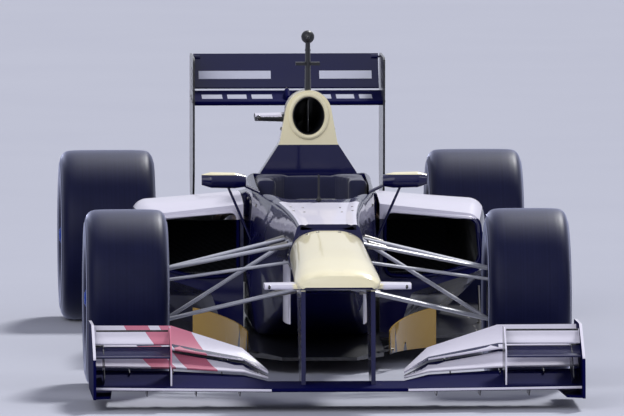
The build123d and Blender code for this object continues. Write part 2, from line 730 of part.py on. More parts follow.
steer_x = front_centre_x - 85
rear_joint_x = rear_centre_x - 95
drum_in = 55
drum_out = 80
arm_y = front_axle_y - 90
arm_z = wheel_z + 65
front_upright = upright(front_centre_x, front_axle_y, drum_in, drum_out, steer_x, 1, 70)
steering_arm = sheet(
    [(steer_x - 12, arm_y - 12), (front_centre_x - drum_in + 1, arm_y - 20),
     (front_centre_x - drum_in + 1, arm_y + 20), (steer_x - 12, arm_y + 12)], arm_z - 30, arm_z - 20, [10, 0, 0, 10])
steering_arm += rod((steer_x, arm_y, arm_z - 25), (steer_x, arm_y, arm_z + 12), pin_size)
scoop = block((front_centre_x - drum_in - 95, front_centre_x - drum_in + 1),
              (front_axle_y + 52, front_axle_y + 134), (wheel_z - 42, wheel_z + 42))
scoop = Pos(0, 2 * front_axle_y, 0) * mirror(scoop, about=Plane.XZ)
scoop_mouth = block((front_centre_x - drum_in - 89, front_centre_x - drum_in - 14),
                    (front_axle_y - 140, front_axle_y - 60), (wheel_z - 36, wheel_z + 36))
front_upright = front_upright + steering_arm + (scoop - scoop_mouth)
save("front_upright_left", front_upright)
save("front_upright_right", other_side(front_upright))
rear_upright = upright(rear_centre_x, rear_axle_y, rear_axle_in - 4, 80, rear_joint_x, 0, 70)
save("rear_uprights", rear_upright, other_side(rear_upright))

shaft_start = (118, rear_axle_y, wheel_z)
shaft_end = (rear_centre_x - rear_axle_in, rear_axle_y, wheel_z)
driveshaft = rod(shaft_start, shaft_end, 18) + rod(shaft_start, (158, rear_axle_y, wheel_z), 40)
save("driveshaft_left", driveshaft)
save("driveshaft_right", other_side(driveshaft))

# Suspension: two wishbones and a pushrod or pullrod on each side
blade_columns = ("start", "end", "chord", "thickness")


def wishbone(outer, inner_points, chord, thickness, bore):
    """Legs that meet in one eye; the eye is bored for the pin of the upright."""
    arm = rod((outer[0], outer[1], outer[2] - eye_height / 2), (outer[0], outer[1], outer[2] + eye_height / 2),
              eye_radius)
    for inner in inner_points:
        arm += strut(outer, inner, chord, thickness)
    return arm - rod((outer[0], outer[1], outer[2] - 40), (outer[0], outer[1], outer[2] + 40), bore)


top_z, low_z = wheel_z + joint_spread, wheel_z - joint_spread
front_arms = wishbone(
    (steer_x, front_axle_y, top_z), [(96, front_axle_y - 150, 548), (100, front_axle_y + 170, 548)],
    46, 15, pin_size + running_gap)
front_lower = wishbone(
    (steer_x, front_axle_y, low_z), [(70, front_axle_y - 145, 384), (84, front_axle_y + 190, 352)],
    48, 15, pin_size + running_gap)
front_lower += strut((steer_x - 60, front_axle_y, low_z + 14), (96, front_axle_y + 10, 566), 36, 15)
front_left = (front_arms + front_lower) - tub
save("front_suspension", front_left, other_side(front_left))

rear_upper = wishbone(
    (rear_joint_x, rear_axle_y, top_z), [(60, rear_axle_y - 120, 368), (50, rear_axle_y + 160, 348)],
    44, 15, pin_size)
rear_lower = wishbone(
    (rear_joint_x, rear_axle_y, low_z), [(60, rear_axle_y - 125, 225), (50, rear_axle_y + 165, 250)],
    48, 15, pin_size)
rear_upper += strut((rear_joint_x - 50, rear_axle_y - 8, top_z), (60, rear_axle_y - 135, 236), 34, 15)
rear_left = (rear_upper + rear_lower) - gearbox
save("rear_suspension", rear_left, other_side(rear_left))

# Steering: track rods and rack are one bar that slides; the wheel turns on its column
rack_z = 470
rod_slope = (rack_z - arm_z) / (steer_x - 130)
track_rod = strut((steer_x - 14, arm_y, arm_z + 14 * rod_slope), (130, arm_y, rack_z), 30, 12)
rod_eye = rod((steer_x, arm_y, arm_z - 7), (steer_x, arm_y, arm_z + 7), 17)
track_rod = track_rod + rod_eye - rod((steer_x, arm_y, arm_z - 40), (steer_x, arm_y, arm_z + 40), 10)
rack_radius = 11
track_rods = track_rod + other_side(track_rod) + rod((-131, arm_y, rack_z), (131, arm_y, rack_z), rack_radius)
save("track_rods", track_rods)

# Two brackets on the front bulkhead hold the rack, which slides in their bushes
bracket_x = (82, 101)
rack_bracket = block(bracket_x, (bulkhead_y + chassis_wall, arm_y), (rack_z - 14, rack_z + 14))
rack_bracket += rod((bracket_x[0], arm_y, rack_z), (bracket_x[1], arm_y, rack_z), rack_radius + 8)
rack_bracket -= rod((bracket_x[0] - 1, arm_y, rack_z), (bracket_x[1] + 1, arm_y, rack_z),
                    rack_radius + running_gap)
save("rack_brackets", rack_bracket, other_side(rack_bracket))

column = rod(tuple(column_start), tuple(wheel_centre - column_axis * 12), column_radius)
save("steering_column", column)
wheel_plane = Plane(origin=wheel_centre - column_axis * 12, x_dir=(1, 0, 0), z_dir=column_axis)
wheel_half = [(60, -78), (138, -70), (142, 64), (118, 74), (50, 62)]
wheel_body = extrude(wheel_plane * make_face(FilletPolyline(
    *both_halves(wheel_half), radius=[14, 28, 24, 14, 20] + [20, 14, 24, 28, 14], close=True)), amount=24)
for side in (-1, 1):
    wheel_body -= extrude(wheel_plane * Pos(side * 98, -2) * RectangleRounded(38, 88, 16), amount=24)
save("steering_wheel", wheel_body)

# Cockpit: a reclined seat on the floor of the tub and a padded collar round the back of the opening
seat_back = [
    (cockpit_front_y + 420, floor_top_z + chassis_wall),
    (cockpit_front_y + 640, floor_top_z + chassis_wall),
    (hoop_y - chassis_wall, 470),
    (hoop_y - chassis_wall, 520),
    (hoop_y - chassis_wall - 70, 520),
    (cockpit_front_y + 560, floor_top_z + 60),
    (cockpit_front_y + 480, floor_top_z + 50),
    (cockpit_front_y + 420, floor_top_z + 100),
]
seat = panel(seat_back, -175, 175, [0, 0, 0, 0, 20, 60, 40, 8])
save("driver_seat", seat)

collar_half = cockpit_half - 6
collar_front_y = hoop_y - 330
collar = sheet([(-collar_half, collar_front_y), (collar_half, collar_front_y),
                (collar_half, hoop_y - chassis_wall), (-collar_half, hoop_y - chassis_wall)], 560, 684,
               [10, 10, 20, 20])
head_room = sheet([(-138, collar_front_y - 10), (138, collar_front_y - 10), (150, hoop_y - 150),
                   (95, hoop_y - 74), (-95, hoop_y - 74), (-150, hoop_y - 150)], 550, 700, [0, 0, 60, 40, 40, 60])
headrest = collar - head_room
save("headrest", headrest)

# Mirrors on stalks from the cockpit sides
mirror_y = front_axle_y + 1010
mirror_back = along(0) * Pos(mirror_y, 0)
mirror_shell = loft([
    along(258) * Pos(mirror_y, 692) * Ellipse(30, 22),
    along(300) * Pos(mirror_y, 694) * Ellipse(36, 30),
    along(390) * Pos(mirror_y, 696) * Ellipse(36, 30),
    along(425) * Pos(mirror_y, 697) * Ellipse(26, 20),
], ruled=True)
mirror_shell -= block((200, 500), (mirror_y + 22, mirror_y + 60), (600, 800))
stalk = strut((300, mirror_y, 692), (190, mirror_y + 6, 640), 42, 12)
prop = strut((330, mirror_y + 4, 680), (238, mirror_y + 30, 470), 26, 10)
left_mirror = mirror_shell + (stalk + prop - tub)
left_mirror = largest(left_mirror)
save("mirrors", left_mirror, other_side(left_mirror))

# Cameras and aerials: a mast above the intake, a pod beside it and a whip ahead of the cockpit
mast_y = hoop_y + 70
mast_top_z = hoop_top_z + 200
mast = loft([
    Plane.XY.offset(hoop_top_z - 30) * Pos(0, mast_y) * Ellipse(13, 34),
    Plane.XY.offset(mast_top_z - 20) * Pos(0, mast_y) * Ellipse(9, 20),
], ruled=True)
mast += Pos(0, mast_y, mast_top_z) * Sphere(25)
mast += block((-46, 46), (mast_y - 14, mast_y + 14), (hoop_top_z + 92, hoop_top_z + 104))
camera_pod = loft([
    foil(-80, hoop_y + 60, 893, 150, 0, 34, 0, 15),
    foil(-200, hoop_y + 68, 893, 130, 0, 28, 0, 12),
], ruled=True)
mast = largest(mast - skin_outside)
camera_pod = min((camera_pod - skin_outside).solids(), key=lambda s: s.center().X)
whip = rod((0, cockpit_front_y - 80, 600), (0, cockpit_front_y - 80, 742), 4) - tub
save("cameras_and_aerials", mast, camera_pod, largest(whip))

# Guide vanes: boards beside the tray, blades at the shoulders of the pods, vanes under the nose
vane_thickness = 5


def curved_vane(plan, z_from, z_to):
    """Upright blade whose plan is an arc through three points."""
    arc = ThreePointArc(*plan)
    way = (Vector(*plan[2]) - Vector(*plan[0])).normalized()
    offset_by = Vector(way.Y, -way.X) * vane_thickness
    back = ThreePointArc(*[(p[0] + offset_by.X, p[1] + offset_by.Y) for p in reversed(plan)])
    face = make_face([arc, Line(arc @ 1, back @ 0), back, Line(back @ 1, arc @ 0)])
    return extrude(Plane.XY.offset(z_from) * face, amount=z_to - z_from)


board_front_y = front_axle_y + 640
board = curved_vane([(265, board_front_y), (330, board_front_y + 190), (455, board_front_y + 350)],
                    floor_top_z - 36, 260)
board_cut = panel([(board_front_y - 20, 300), (board_front_y - 20, 150), (board_front_y + 400, 225),
                   (board_front_y + 400, 300)], 200, 500)
board = board - board_cut
board_stays = strut((230, board_front_y + 60, 68), (285, board_front_y + 60, 80), 30, 9)
board_stays += strut((240, board_front_y + 200, 72), (338, board_front_y + 200, 92), 30, 9)
board += board_stays - keel - board
shoulder_x = floor_half - 6
shoulder = panel([(pod_front_y - 40, floor_top_z), (pod_front_y + 90, floor_top_z),
                  (pod_front_y + 60, 300), (pod_front_y + 20, 470), (pod_front_y - 60, 470),
                  (pod_front_y - 70, 300)], shoulder_x, shoulder_x + 6, [0, 0, 40, 20, 20, 40])
nose_vane = curved_vane([(135, front_axle_y - 60), (148, front_axle_y + 30), (150, front_axle_y + 125)],
                        235, 478) - tub
nose_vane = largest(nose_vane)
save("guide_vanes", board, shoulder, nose_vane, *[other_side(s) for s in (board, shoulder, nose_vane)])
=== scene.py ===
import bisect
import math

import bmesh
import bpy
from mathutils import Matrix, Vector
from mathutils.bvhtree import BVHTree


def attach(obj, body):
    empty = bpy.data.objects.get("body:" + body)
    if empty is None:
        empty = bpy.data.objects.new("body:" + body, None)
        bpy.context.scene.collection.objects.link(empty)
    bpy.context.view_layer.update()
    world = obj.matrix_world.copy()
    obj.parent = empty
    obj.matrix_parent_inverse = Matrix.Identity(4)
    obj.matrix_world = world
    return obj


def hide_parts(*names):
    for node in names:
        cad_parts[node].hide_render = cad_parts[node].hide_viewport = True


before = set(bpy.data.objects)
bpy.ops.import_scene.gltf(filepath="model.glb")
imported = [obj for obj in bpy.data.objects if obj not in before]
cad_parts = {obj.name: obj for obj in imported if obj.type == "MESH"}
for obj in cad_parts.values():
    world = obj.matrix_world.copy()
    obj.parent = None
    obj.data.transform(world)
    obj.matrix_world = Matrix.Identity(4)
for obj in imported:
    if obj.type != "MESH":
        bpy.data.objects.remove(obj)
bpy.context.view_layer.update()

# Studio floor: a round pale floor of matt painted board, wide enough to fill the picture behind the car.
# It is not part of the car. Its soft shade lets the shadow under the car show.

scene = bpy.context.scene
scene.view_settings.view_transform = "Standard"
floor_radius = 27.0


def linear(code, share=1.0):
    """The linear colour of an sRGB hex value, or a darker share of it."""
    parts = [int(code[k:k + 2], 16) / 255 for k in (1, 3, 5)]
    return [share * (p / 12.92 if p <= 0.04045 else ((p + 0.055) / 1.055) ** 2.4) for p in parts] + [1.0]


def add(tree, kind, settings=None, inputs=None):
    """One shader node with its settings; each input is a value or another node's output."""
    node = tree.nodes.new("ShaderNode" + kind)
    for name, value in (settings or {}).items():
        setattr(node, name, value)
    for name, value in (inputs or {}).items():
        if isinstance(value, bpy.types.NodeSocket):
            tree.links.new(value, node.inputs[name])
        else:
            node.inputs[name].default_value = value
    return node


def per_metre(size_mm):
    """Texture scale that repeats once in a length given in millimetres."""
    return 1000.0 / size_mm


def noise(tree, place, size_mm, detail, **more):
    """Noise whose grain has a real size in millimetres."""
    inputs = {"Vector": place, "Scale": per_metre(size_mm), "Detail": detail, **more}
    return add(tree, "TexNoise", inputs=inputs).outputs["Fac"]


def spread(tree, value, low, high, from_low=0.0, from_high=1.0):
    """A value stretched from one range to another."""
    inputs = {"Value": value, "From Min": from_low, "From Max": from_high, "To Min": low, "To Max": high}
    return add(tree, "MapRange", inputs=inputs).outputs["Result"]


def surface(name, numbers):
    """A material, its nodes, its shader with the constant numbers set on it, and its Object coordinates."""
    material = bpy.data.materials.new(name)
    material.use_nodes = True
    tree = material.node_tree
    shader = tree.nodes["Principled BSDF"]
    for label, value in numbers.items():
        shader.inputs[label].default_value = value
    return material, tree, shader, add(tree, "TexCoord").outputs["Object"]


def dress(tree, shader, colours=None, rough=None, bump=None):
    """Links a shader to a blend of two colours, a roughness and a relief.

    The colours come as what blends them, two hex values and a share of the second; the relief comes as its
    height, strength and distance."""
    if colours:
        tone = add(tree, "MixRGB", inputs={
            "Fac": colours[0], "Color1": linear(colours[1]), "Color2": linear(*colours[2:])})
        tree.links.new(tone.outputs["Color"], shader.inputs["Base Color"])
    if rough:
        tree.links.new(rough, shader.inputs["Roughness"])
    if bump:
        relief = add(tree, "Bump", inputs=dict(zip(("Height", "Strength", "Distance"), bump)))
        tree.links.new(relief.outputs["Normal"], shader.inputs["Normal"])


def grained(name, numbers, size_mm, detail, colours=None, rough=None, bump=None, **more):
    """A material whose colour, roughness and relief all follow one noise."""
    material, tree, shader, place = surface(name, numbers)
    grain = noise(tree, place, size_mm, detail, **more)
    dress(tree, shader, colours and (grain, *colours), rough and spread(tree, grain, *rough),
          bump and (grain, *bump))
    return material


floor_board = grained("matt_painted_board", {"Roughness": 0.9, "Specular IOR Level": 0.0}, 900, 2.0,
                      ("#BFC1CC", "#BABCC8"))
ground = bmesh.new()
bmesh.ops.create_circle(ground, cap_ends=True, segments=96, radius=floor_radius)
ground_mesh = bpy.data.meshes.new("studio_floor")
ground.to_mesh(ground_mesh)
ground.free()
ground_mesh.materials.append(floor_board)
studio_floor = bpy.data.objects.new("studio_floor", ground_mesh)
scene.collection.objects.link(studio_floor)

# Light: a pale room, a wide sun high behind the car's left, a weak one in front, and two strips.
# The room that the camera and the paint see is as pale as the floor, under a brighter ceiling.


def calc(tree, operation, *values):
    """The result of one Math node."""
    return add(tree, "Math", {"operation": operation}, dict(enumerate(values))).outputs[0]


room = bpy.data.worlds.new("pale_room")
scene.world = room
room.use_nodes = True
tree = room.node_tree
tree.nodes.clear()
rays = add(tree, "LightPath").outputs
seen = calc(tree, "MAXIMUM", rays["Is Camera Ray"], rays["Is Glossy Ray"])
seen = calc(tree, "MAXIMUM", seen, rays["Is Transmission Ray"])
lit = add(tree, "Background", inputs={"Color": linear("#E6E9FF"), "Strength": 0.36})
height = add(tree, "SeparateXYZ", inputs={"Vector": add(tree, "TexCoord").outputs["Generated"]})
ceiling = add(tree, "MapRange", {"interpolation_type": "SMOOTHSTEP"}, {
    "Value": height.outputs["Z"], "From Min": 0.30, "From Max": 0.80, "To Min": 1.0, "To Max": 1.3})
shown = add(tree, "Background", inputs={"Color": linear("#BDC0CB"), "Strength": ceiling.outputs["Result"]})
mixed = add(tree, "MixShader", inputs={0: seen, 1: lit.outputs[0], 2: shown.outputs[0]})
add(tree, "OutputWorld", inputs={"Surface": mixed.outputs[0]})

strip = {"shape": "RECTANGLE", "size": 1.2, "size_y": 5.0}
lamps = [
    ("back_sun", "SUN", (2.4, 5.0, 6.2), 2.7, {"angle": math.radians(10)}),
    ("front_sun", "SUN", (-4.0, -8.0, 5.0), 0.85, {"angle": math.radians(50)}),
    ("right_strip", "AREA", (-3.5, -7.0, 5.5), 45.0, strip),
    ("left_strip", "AREA", (5.5, -5.0, 5.5), 60.0, strip),
]
lamps_aim = Vector((0.0, 0.0, 0.4))
for name, kind, where, power, shape in lamps:
    lamp = bpy.data.lights.new(name, kind)
    lamp.energy = power
    for setting, value in shape.items():
        setattr(lamp, setting, value)
    box = bpy.data.objects.new(name, lamp)
    box.location = where
    box.rotation_mode = "QUATERNION"
    box.rotation_quaternion = (lamps_aim - Vector(where)).to_track_quat("-Z", "Y")
    scene.collection.objects.link(box)

# Camera: far in front of the car with a very long lens, a little above it and to its right.
# The car fills most of the picture.

camera_distance = 67.0
camera_azimuth, camera_elevation = math.radians(-2.5), math.radians(4.2)
picture_width = 2.36
camera_aim = Vector((0.0, -0.1, 0.575))
lens = bpy.data.cameras.new("long_lens")
lens.sensor_width = 36.0
lens.lens = lens.sensor_width * camera_distance / picture_width
lens.clip_end = 400.0
camera = bpy.data.objects.new("camera", lens)
back = Vector((
    math.sin(camera_azimuth) * math.cos(camera_elevation),
    -math.cos(camera_azimuth) * math.cos(camera_elevation),
    math.sin(camera_elevation)))
camera.location = camera_aim + back * camera_distance
camera.rotation_mode = "QUATERNION"
camera.rotation_quaternion = (-back).to_track_quat("-Z", "Y")
scene.collection.objects.link(camera)
scene.camera = camera

# Monocoque: the carbon tub that everything bolts to, painted navy under clear lacquer; the upward faces of
# its deck are white, a painted highlight of the sky's glare on the navy.
# Its two halves are bonded; the copy gets fair curves along its length.


def gloss_paint(name, base, shade, coat=0.8, roughness=0.35, shine=0.1):
    """Two-pack paint under polished lacquer: deep colour, sharp highlights, faint orange peel."""
    material, tree, shader, place = surface(name, {
        "Roughness": roughness, "Specular IOR Level": shine, "Coat Weight": coat, "Coat Roughness": 0.05})
    cloud = noise(tree, place, 260, 3.0)
    peel = noise(tree, place, 4, 1.0)
    dress(tree, shader, (cloud, base, shade), bump=(peel, 0.05, 0.0002))
    return material


navy_paint = gloss_paint("navy_gloss_paint", "#080A48", "#060738")
# Lilac white is white paint on the blades and winglets, and a painted highlight on the upward and leading
# faces of navy parts.
white_paint = gloss_paint("lilac_white_paint_and_painted_highlight", "#E9E6F2", "#DFDBEC", 0.35)

# The twill's slanted steps are drawn from tows of 8 mm, coarser than real ones, so that they show.
dark_carbon, tree, shader, place = surface("lacquered_twill_carbon", {
    "Roughness": 0.38, "Coat Weight": 0.6, "Coat Roughness": 0.12, "Specular IOR Level": 0.4})
parts = add(tree, "SeparateXYZ", inputs={"Vector": place}).outputs
across = calc(tree, "ADD", parts["X"], parts["Z"])
cells = [calc(tree, "FLOOR", calc(tree, "MULTIPLY", way, per_metre(8))) for way in (across, parts["Y"])]
step = calc(tree, "FRACT", calc(tree, "MULTIPLY", calc(tree, "ADD", *cells), 0.25))
over = calc(tree, "LESS_THAN", step, 0.45)
dress(tree, shader, (over, "#121318", "#26272E"), bump=(over, 0.12, 0.0004))


def bare_metal(name, base, roughness, streak_mm, metallic=1.0):
    """Machined metal: fine turning marks that stretch the highlights a little."""
    return grained(name, {"Metallic": metallic}, streak_mm, 4.0, (base, base, 0.72),
                   (roughness * 0.8, roughness * 1.25, 0.3, 0.7), (0.08, 0.0002))


titanium = bare_metal("turned_titanium", "#8E8B87", 0.32, 3)


def copy_of(node):
    """A loose copy of a CAD node's mesh with its doubles merged."""
    shell = bmesh.new()
    shell.from_mesh(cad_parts[node].data)
    bmesh.ops.remove_doubles(shell, verts=shell.verts, dist=0.00003)
    return shell


def cut(shell, point, way, faces=None, near=0.0001):
    """Cuts a shell, or only some of its faces, where a plane crosses it."""
    if faces is None:
        geometry = list(shell.verts) + list(shell.edges) + list(shell.faces)
    else:
        rims = dict.fromkeys(part for face in faces for part in (*face.edges, *face.verts))
        geometry = faces + list(rims)
    bmesh.ops.bisect_plane(shell, geom=geometry, dist=near, plane_co=point, plane_no=way)


def curve(stations, values, y):
    """Height of the straight line between the values at the stations, and what a fair curve adds to it."""
    k = min(max(bisect.bisect(stations, y) - 1, 0), len(stations) - 2)
    run, rise = stations[k + 1] - stations[k], values[k + 1] - values[k]
    t = (y - stations[k]) / run

    def slope(i):
        low, high = max(i - 1, 0), min(i + 1, len(stations) - 1)
        return (values[high] - values[low]) / (stations[high] - stations[low])

    bend = (slope(k) * run - rise) * (1 - t) + (rise - slope(k + 1) * run) * t
    return values[k] + t * rise, t * (1 - t) * bend


def fair(shell, stations, beside=None, body=lambda point: True):
    """Rounds the flat runs between a body's sections into fair curves that still pass through each section.

    The sections are read from the points that belong to the body, and from the node beside it where the two
    share one skin."""
    near, step, clear = 0.004, 0.045, 0.012
    points = [v.co for v in shell.verts if body(v.co)]
    if beside:
        points += [v.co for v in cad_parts[beside].data.vertices]
    rows = [[p for p in points if abs(p.y - y) < near] for y in stations]
    stations = [y for y, row in zip(stations, rows) if row]
    rows = [row for row in rows if row]
    highs = [max(p.z for p in row) for row in rows]
    lows = [min(p.z for p in row) for row in rows]
    halves = [max(abs(p.x) for p in row) for row in rows]
    y = stations[0] + step
    while y < stations[-1]:
        if min(abs(y - s) for s in stations) > clear:
            cut(shell, (0, y, 0), (0, 1, 0))
        y += step
    for v in shell.verts:
        if stations[0] < v.co.y < stations[-1]:
            high, high_bend = curve(stations, highs, v.co.y)
            low, low_bend = curve(stations, lows, v.co.y)
            half, half_bend = curve(stations, halves, v.co.y)
            share = min(max((v.co.z - low) / (high - low), 0.0), 1.0)
            v.co.z += low_bend + share * (high_bend - low_bend)
            v.co.x *= 1 + half_bend / half


def paint(shell, finish_of):
    """Gives each face the finish whose place in the list a rule picks from its middle and its normal."""
    for face in shell.faces:
        face.material_index = int(finish_of(face.calc_center_median(), face.normal))


def piece(name, shell, slot, *finishes, body="chassis", crease=32.0, node=None, clean=True):
    """A finished object from a loose mesh: smooth inside its creases and on its body; the slot is not used.
    """
    if clean:
        bmesh.ops.remove_doubles(shell, verts=shell.verts, dist=0.000005)
        bmesh.ops.recalc_face_normals(shell, faces=shell.faces)
    shell.normal_update()
    for face in shell.faces:
        face.smooth = True
    for edge in shell.edges:
        edge.smooth = len(edge.link_faces) == 2 and edge.calc_face_angle(0.0) < math.radians(crease)
    mesh = bpy.data.meshes.new(name)
    shell.to_mesh(mesh)
    shell.free()
    if "custom_normal" in mesh.attributes:
        mesh.attributes.remove(mesh.attributes["custom_normal"])
    for finish in finishes:
        mesh.materials.append(finish)
    made = bpy.data.objects.new(name, mesh)
    scene.collection.objects.link(made)
    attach(made, body)
    if node:
        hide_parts(node)
    return made


def skin(name, shell, slot, node, *finishes, body="chassis"):
    """The piece that a CAD node's own copy becomes."""
    return piece(name, shell, slot, *finishes, body=body, node=node, clean=False)


def facing(where, way):
    """Matrix that stands a shape on a point, with its own Z along a direction."""
    return Matrix.Translation(Vector(where)) @ Vector(way).to_track_quat("Z", "Y").to_matrix().to_4x4()


def studs(shell, places, way, radius, height):
    """Low round fastener heads at the places, all facing one way, each with a dished top."""
    way = Vector(way).normalized()
    for where in places:
        made = bmesh.ops.create_cone(
            shell, cap_ends=True, segments=10, radius1=radius, radius2=radius * 0.72,
            depth=height, matrix=facing(Vector(where) + way * height * 0.4, way))
        shell.normal_update()
        rims = {f for v in made["verts"] for f in v.link_faces}
        top = [f for f in rims if f.normal.dot(way) > 0.9]
        bmesh.ops.inset_region(shell, faces=top, thickness=radius * 0.3, depth=-height * 0.3)


def skin_studs(shell, host, places, way, radius=0.006, height=0.003):
    """Fastener heads on both sides of the car, each square to the host's face under it along a direction."""
    under = bmesh.new()
    under.from_mesh(host.data)
    tree = BVHTree.FromBMesh(under)
    under.free()
    for side in (-1, 1):
        ray = Vector((side * way[0], way[1], way[2])).normalized()
        for x, y, z in places:
            where, normal, index, distance = tree.ray_cast(Vector((side * x, y, z)) + ray * 0.25, -ray)
            if where is not None:
                studs(shell, [where], normal, radius, height)


def tub_finish(centre, normal):
    """Carbon inside the tub and on its tank, white as a painted highlight on the deck's upward faces ahead
    of the cockpit, navy elsewhere.
    """
    inward = normal.dot(Vector((centre.x, 0, centre.z - 0.42))) < 0
    if centre.y > 0.205 or (-1.47 < centre.y < 0.19 and inward and centre.z < 0.66):
        return 1
    # The deck's upward faces are painted white as a painted highlight: the glare of the sky on navy lacquer.
    on_deck = -1.475 < centre.y < -0.72 and abs(centre.x) < 0.150 and centre.z > 0.6
    return 2 if on_deck and normal.z > 0.9 else 0


tub = copy_of("monocoque")
fair(tub, [-1.48, -1.28, -1.08, -0.84, -0.60, -0.40, -0.20, 0.20])
paint(tub, tub_finish)
tub_shell = skin("tub_shell", tub, "navy_paint", "monocoque", navy_paint, dark_carbon, white_paint)

tub_bolts = bmesh.new()
skin_studs(tub_bolts, tub_shell, [(0.15, -1.44, 0.46), (0.15, -1.44, 0.50)], (1, 0, 0))
skin_studs(tub_bolts, tub_shell, [(0.2, y, 0.60) for y in (-0.30, -0.12, 0.06)], (1, 0, 0), 0.007)
deck_places = [(0.07, -1.05, 0.7), (0.11, -1.05, 0.7), (0.07, -0.90, 0.7), (0.115, -0.90, 0.7)]
skin_studs(tub_bolts, tub_shell, deck_places, (0, 0, 1), 0.005, 0.0025)
piece("tub_bolts", tub_bolts, "alloy", titanium)

# Nose cone: a carbon moulding in pale primrose paint on pins at the front of the tub; the paint's paleness
# is partly a painted highlight.
# Its two navy pylons carry the front wing, and a white winglet stands out on each side.

# Primrose: a yellow paint whose very pale cream is partly a painted highlight of the sun's glare on it.
primrose_paint_and_highlight = gloss_paint("primrose_paint_and_painted_highlight", "#FFF8D8", "#FCF0C2")
nose_tip_z = 0.446
nose = copy_of("nose_cone")
fair(nose, [-2.32, -2.24, -2.08, -1.78, -1.48], body=lambda point: point.z > 0.36 and abs(point.x) < 0.168)
belly_point, belly_way = Vector((0, -2.35, nose_tip_z - 0.012)), Vector((0, 0.083, 1))


def nose_finish(centre, normal):
    """White winglets, navy below the belly's plane, primrose above it."""
    if abs(centre.x) > 0.165:
        return 2
    return (centre - belly_point).dot(belly_way) < 0 or normal.z < -0.7


cut(nose, belly_point, belly_way)
nose.normal_update()
paint(nose, nose_finish)
nose_shell = skin("nose_shell", nose, "yellow_paint", "nose_cone", primrose_paint_and_highlight, navy_paint, white_paint)

nose_pins = bmesh.new()
skin_studs(nose_pins, nose_shell, [(0.15, -1.51, 0.46), (0.15, -1.51, 0.50)], (1, 0, 0), 0.007)
skin_studs(nose_pins, nose_shell, [(0.04, -1.515, 0.6), (0.08, -1.515, 0.6)], (0, 0, 1), 0.007)
piece("nose_pins", nose_pins, "alloy", titanium)

lens_glass = grained("dark_lens_glass", {
    "Base Color": linear("#0A0B10"), "Coat Weight": 1.0, "Coat Roughness": 0.02}, 12, 2.0,
                     rough=(0.04, 0.12))


def ball(shell, where, radius, segments=20, rings=12, depth=1.0):
    """Small ball, whose depth along the car can be a share of its width."""
    bmesh.ops.create_uvsphere(shell, u_segments=segments, v_segments=rings, radius=radius,
                              matrix=Matrix.Translation(where) @ Matrix.Diagonal((1, depth, 1, 1)))


winglet_lenses = bmesh.new()
for side in (-1, 1):
    ball(winglet_lenses, (side * 0.252, -2.293, nose_tip_z), 0.008)
piece("winglet_lenses", winglet_lenses, "carbon", lens_glass)

# Front wing main plane: one full width carbon moulding, navy; outboard, its leading edge is white, a painted
# highlight of the sky on it.
# Slot brackets of carbon tie the flaps to it, and strakes hang below it.

neutral_half = 0.25
satin_navy = gloss_paint("navy_satin_paint", "#080A44", "#060734", 0.0, 0.6, 0.02)
main_plane = copy_of("front_wing_main_plane")
# White on the forward faces outboard is a painted highlight along the leading edge.
paint(main_plane, lambda centre, normal: abs(centre.x) > neutral_half and normal.y < -0.75)
skin("front_wing_lower", main_plane, "navy_paint", "front_wing_main_plane", satin_navy, white_paint)


def fins(shell, points, x, thickness=0.003):
    """Thin upright plates, drawn as (y, z) points, standing at x on both sides of the car."""
    for side in (-1, 1):
        face = shell.faces.new([shell.verts.new((side * x - thickness / 2, y, z)) for y, z in points])
        face.normal_update()
        grown = bmesh.ops.extrude_face_region(shell, geom=[face])
        moved = [g for g in grown["geom"] if isinstance(g, bmesh.types.BMVert)]
        bmesh.ops.translate(shell, verts=moved, vec=(thickness, 0, 0))


wing_brackets = bmesh.new()
for x, back, low in ((0.42, -2.125, 0.098), (0.60, -2.14, 0.104), (0.76, -2.15, 0.108)):
    fins(wing_brackets, [
        (back - 0.03, low), (back + 0.05, low + 0.012), (back + 0.12, low + 0.07),
        (back + 0.09, low + 0.072), (back + 0.02, low + 0.034), (back - 0.04, low + 0.018)], x)
for x in (0.36, 0.52, 0.70):
    fins(wing_brackets, [(-2.38, 0.077), (-2.18, 0.080), (-2.16, 0.046), (-2.30, 0.046)], x)
piece("wing_brackets_and_strakes", wing_brackets, "carbon", dark_carbon)

# Front wing flaps and cascades: lilac white carbon blades, two behind the main plane and two small ones
# held up by a fin. Rose stripes cross the flaps on the car's right, as one stripe of its paint scheme.


def softened(shell, stand, soften, segments):
    """Cube stretched and placed by a matrix, with its edges rounded off."""
    made = bmesh.ops.create_cube(shell, size=1.0, matrix=stand)["verts"]
    if soften:
        edges = list({e for v in made for e in v.link_edges})
        bmesh.ops.bevel(shell, geom=made + edges, offset=soften, offset_type="OFFSET", segments=segments,
                        profile=0.5, affect="EDGES", clamp_overlap=True, material=-1)


def slab(shell, x_span, y_span, z_span, soften=0.0, turn=Matrix.Identity(4)):
    """Block between three pairs of limits, with softened edges; turn is applied about its middle."""
    spans = [sorted(span) for span in (x_span, y_span, z_span)]
    middle = Vector([(a + b) / 2 for a, b in spans])
    size = [b - a for a, b in spans]
    softened(shell, Matrix.Translation(middle) @ turn @ Matrix.Diagonal((*size, 1.0)), soften, 2)


def slabs(shell, x_span, *rest):
    """The block and its mirror image on the car's other side."""
    for side in (-1, 1):
        slab(shell, [side * x for x in x_span], *rest)


rose_paint = gloss_paint("rose_gloss_paint", "#D9859B", "#C9637F")
stripe_bands = [(-0.70, -0.61), (-0.57, -0.46)]
stripe_point, stripe_way = Vector((0, -2.1, 0.15)), Vector((1, 0.35, 0.25))
flaps = copy_of("front_wing_flaps")
for edge_x in sorted({x for band in stripe_bands for x in band}):
    cut(flaps, stripe_point + Vector((edge_x, 0, 0)), stripe_way)

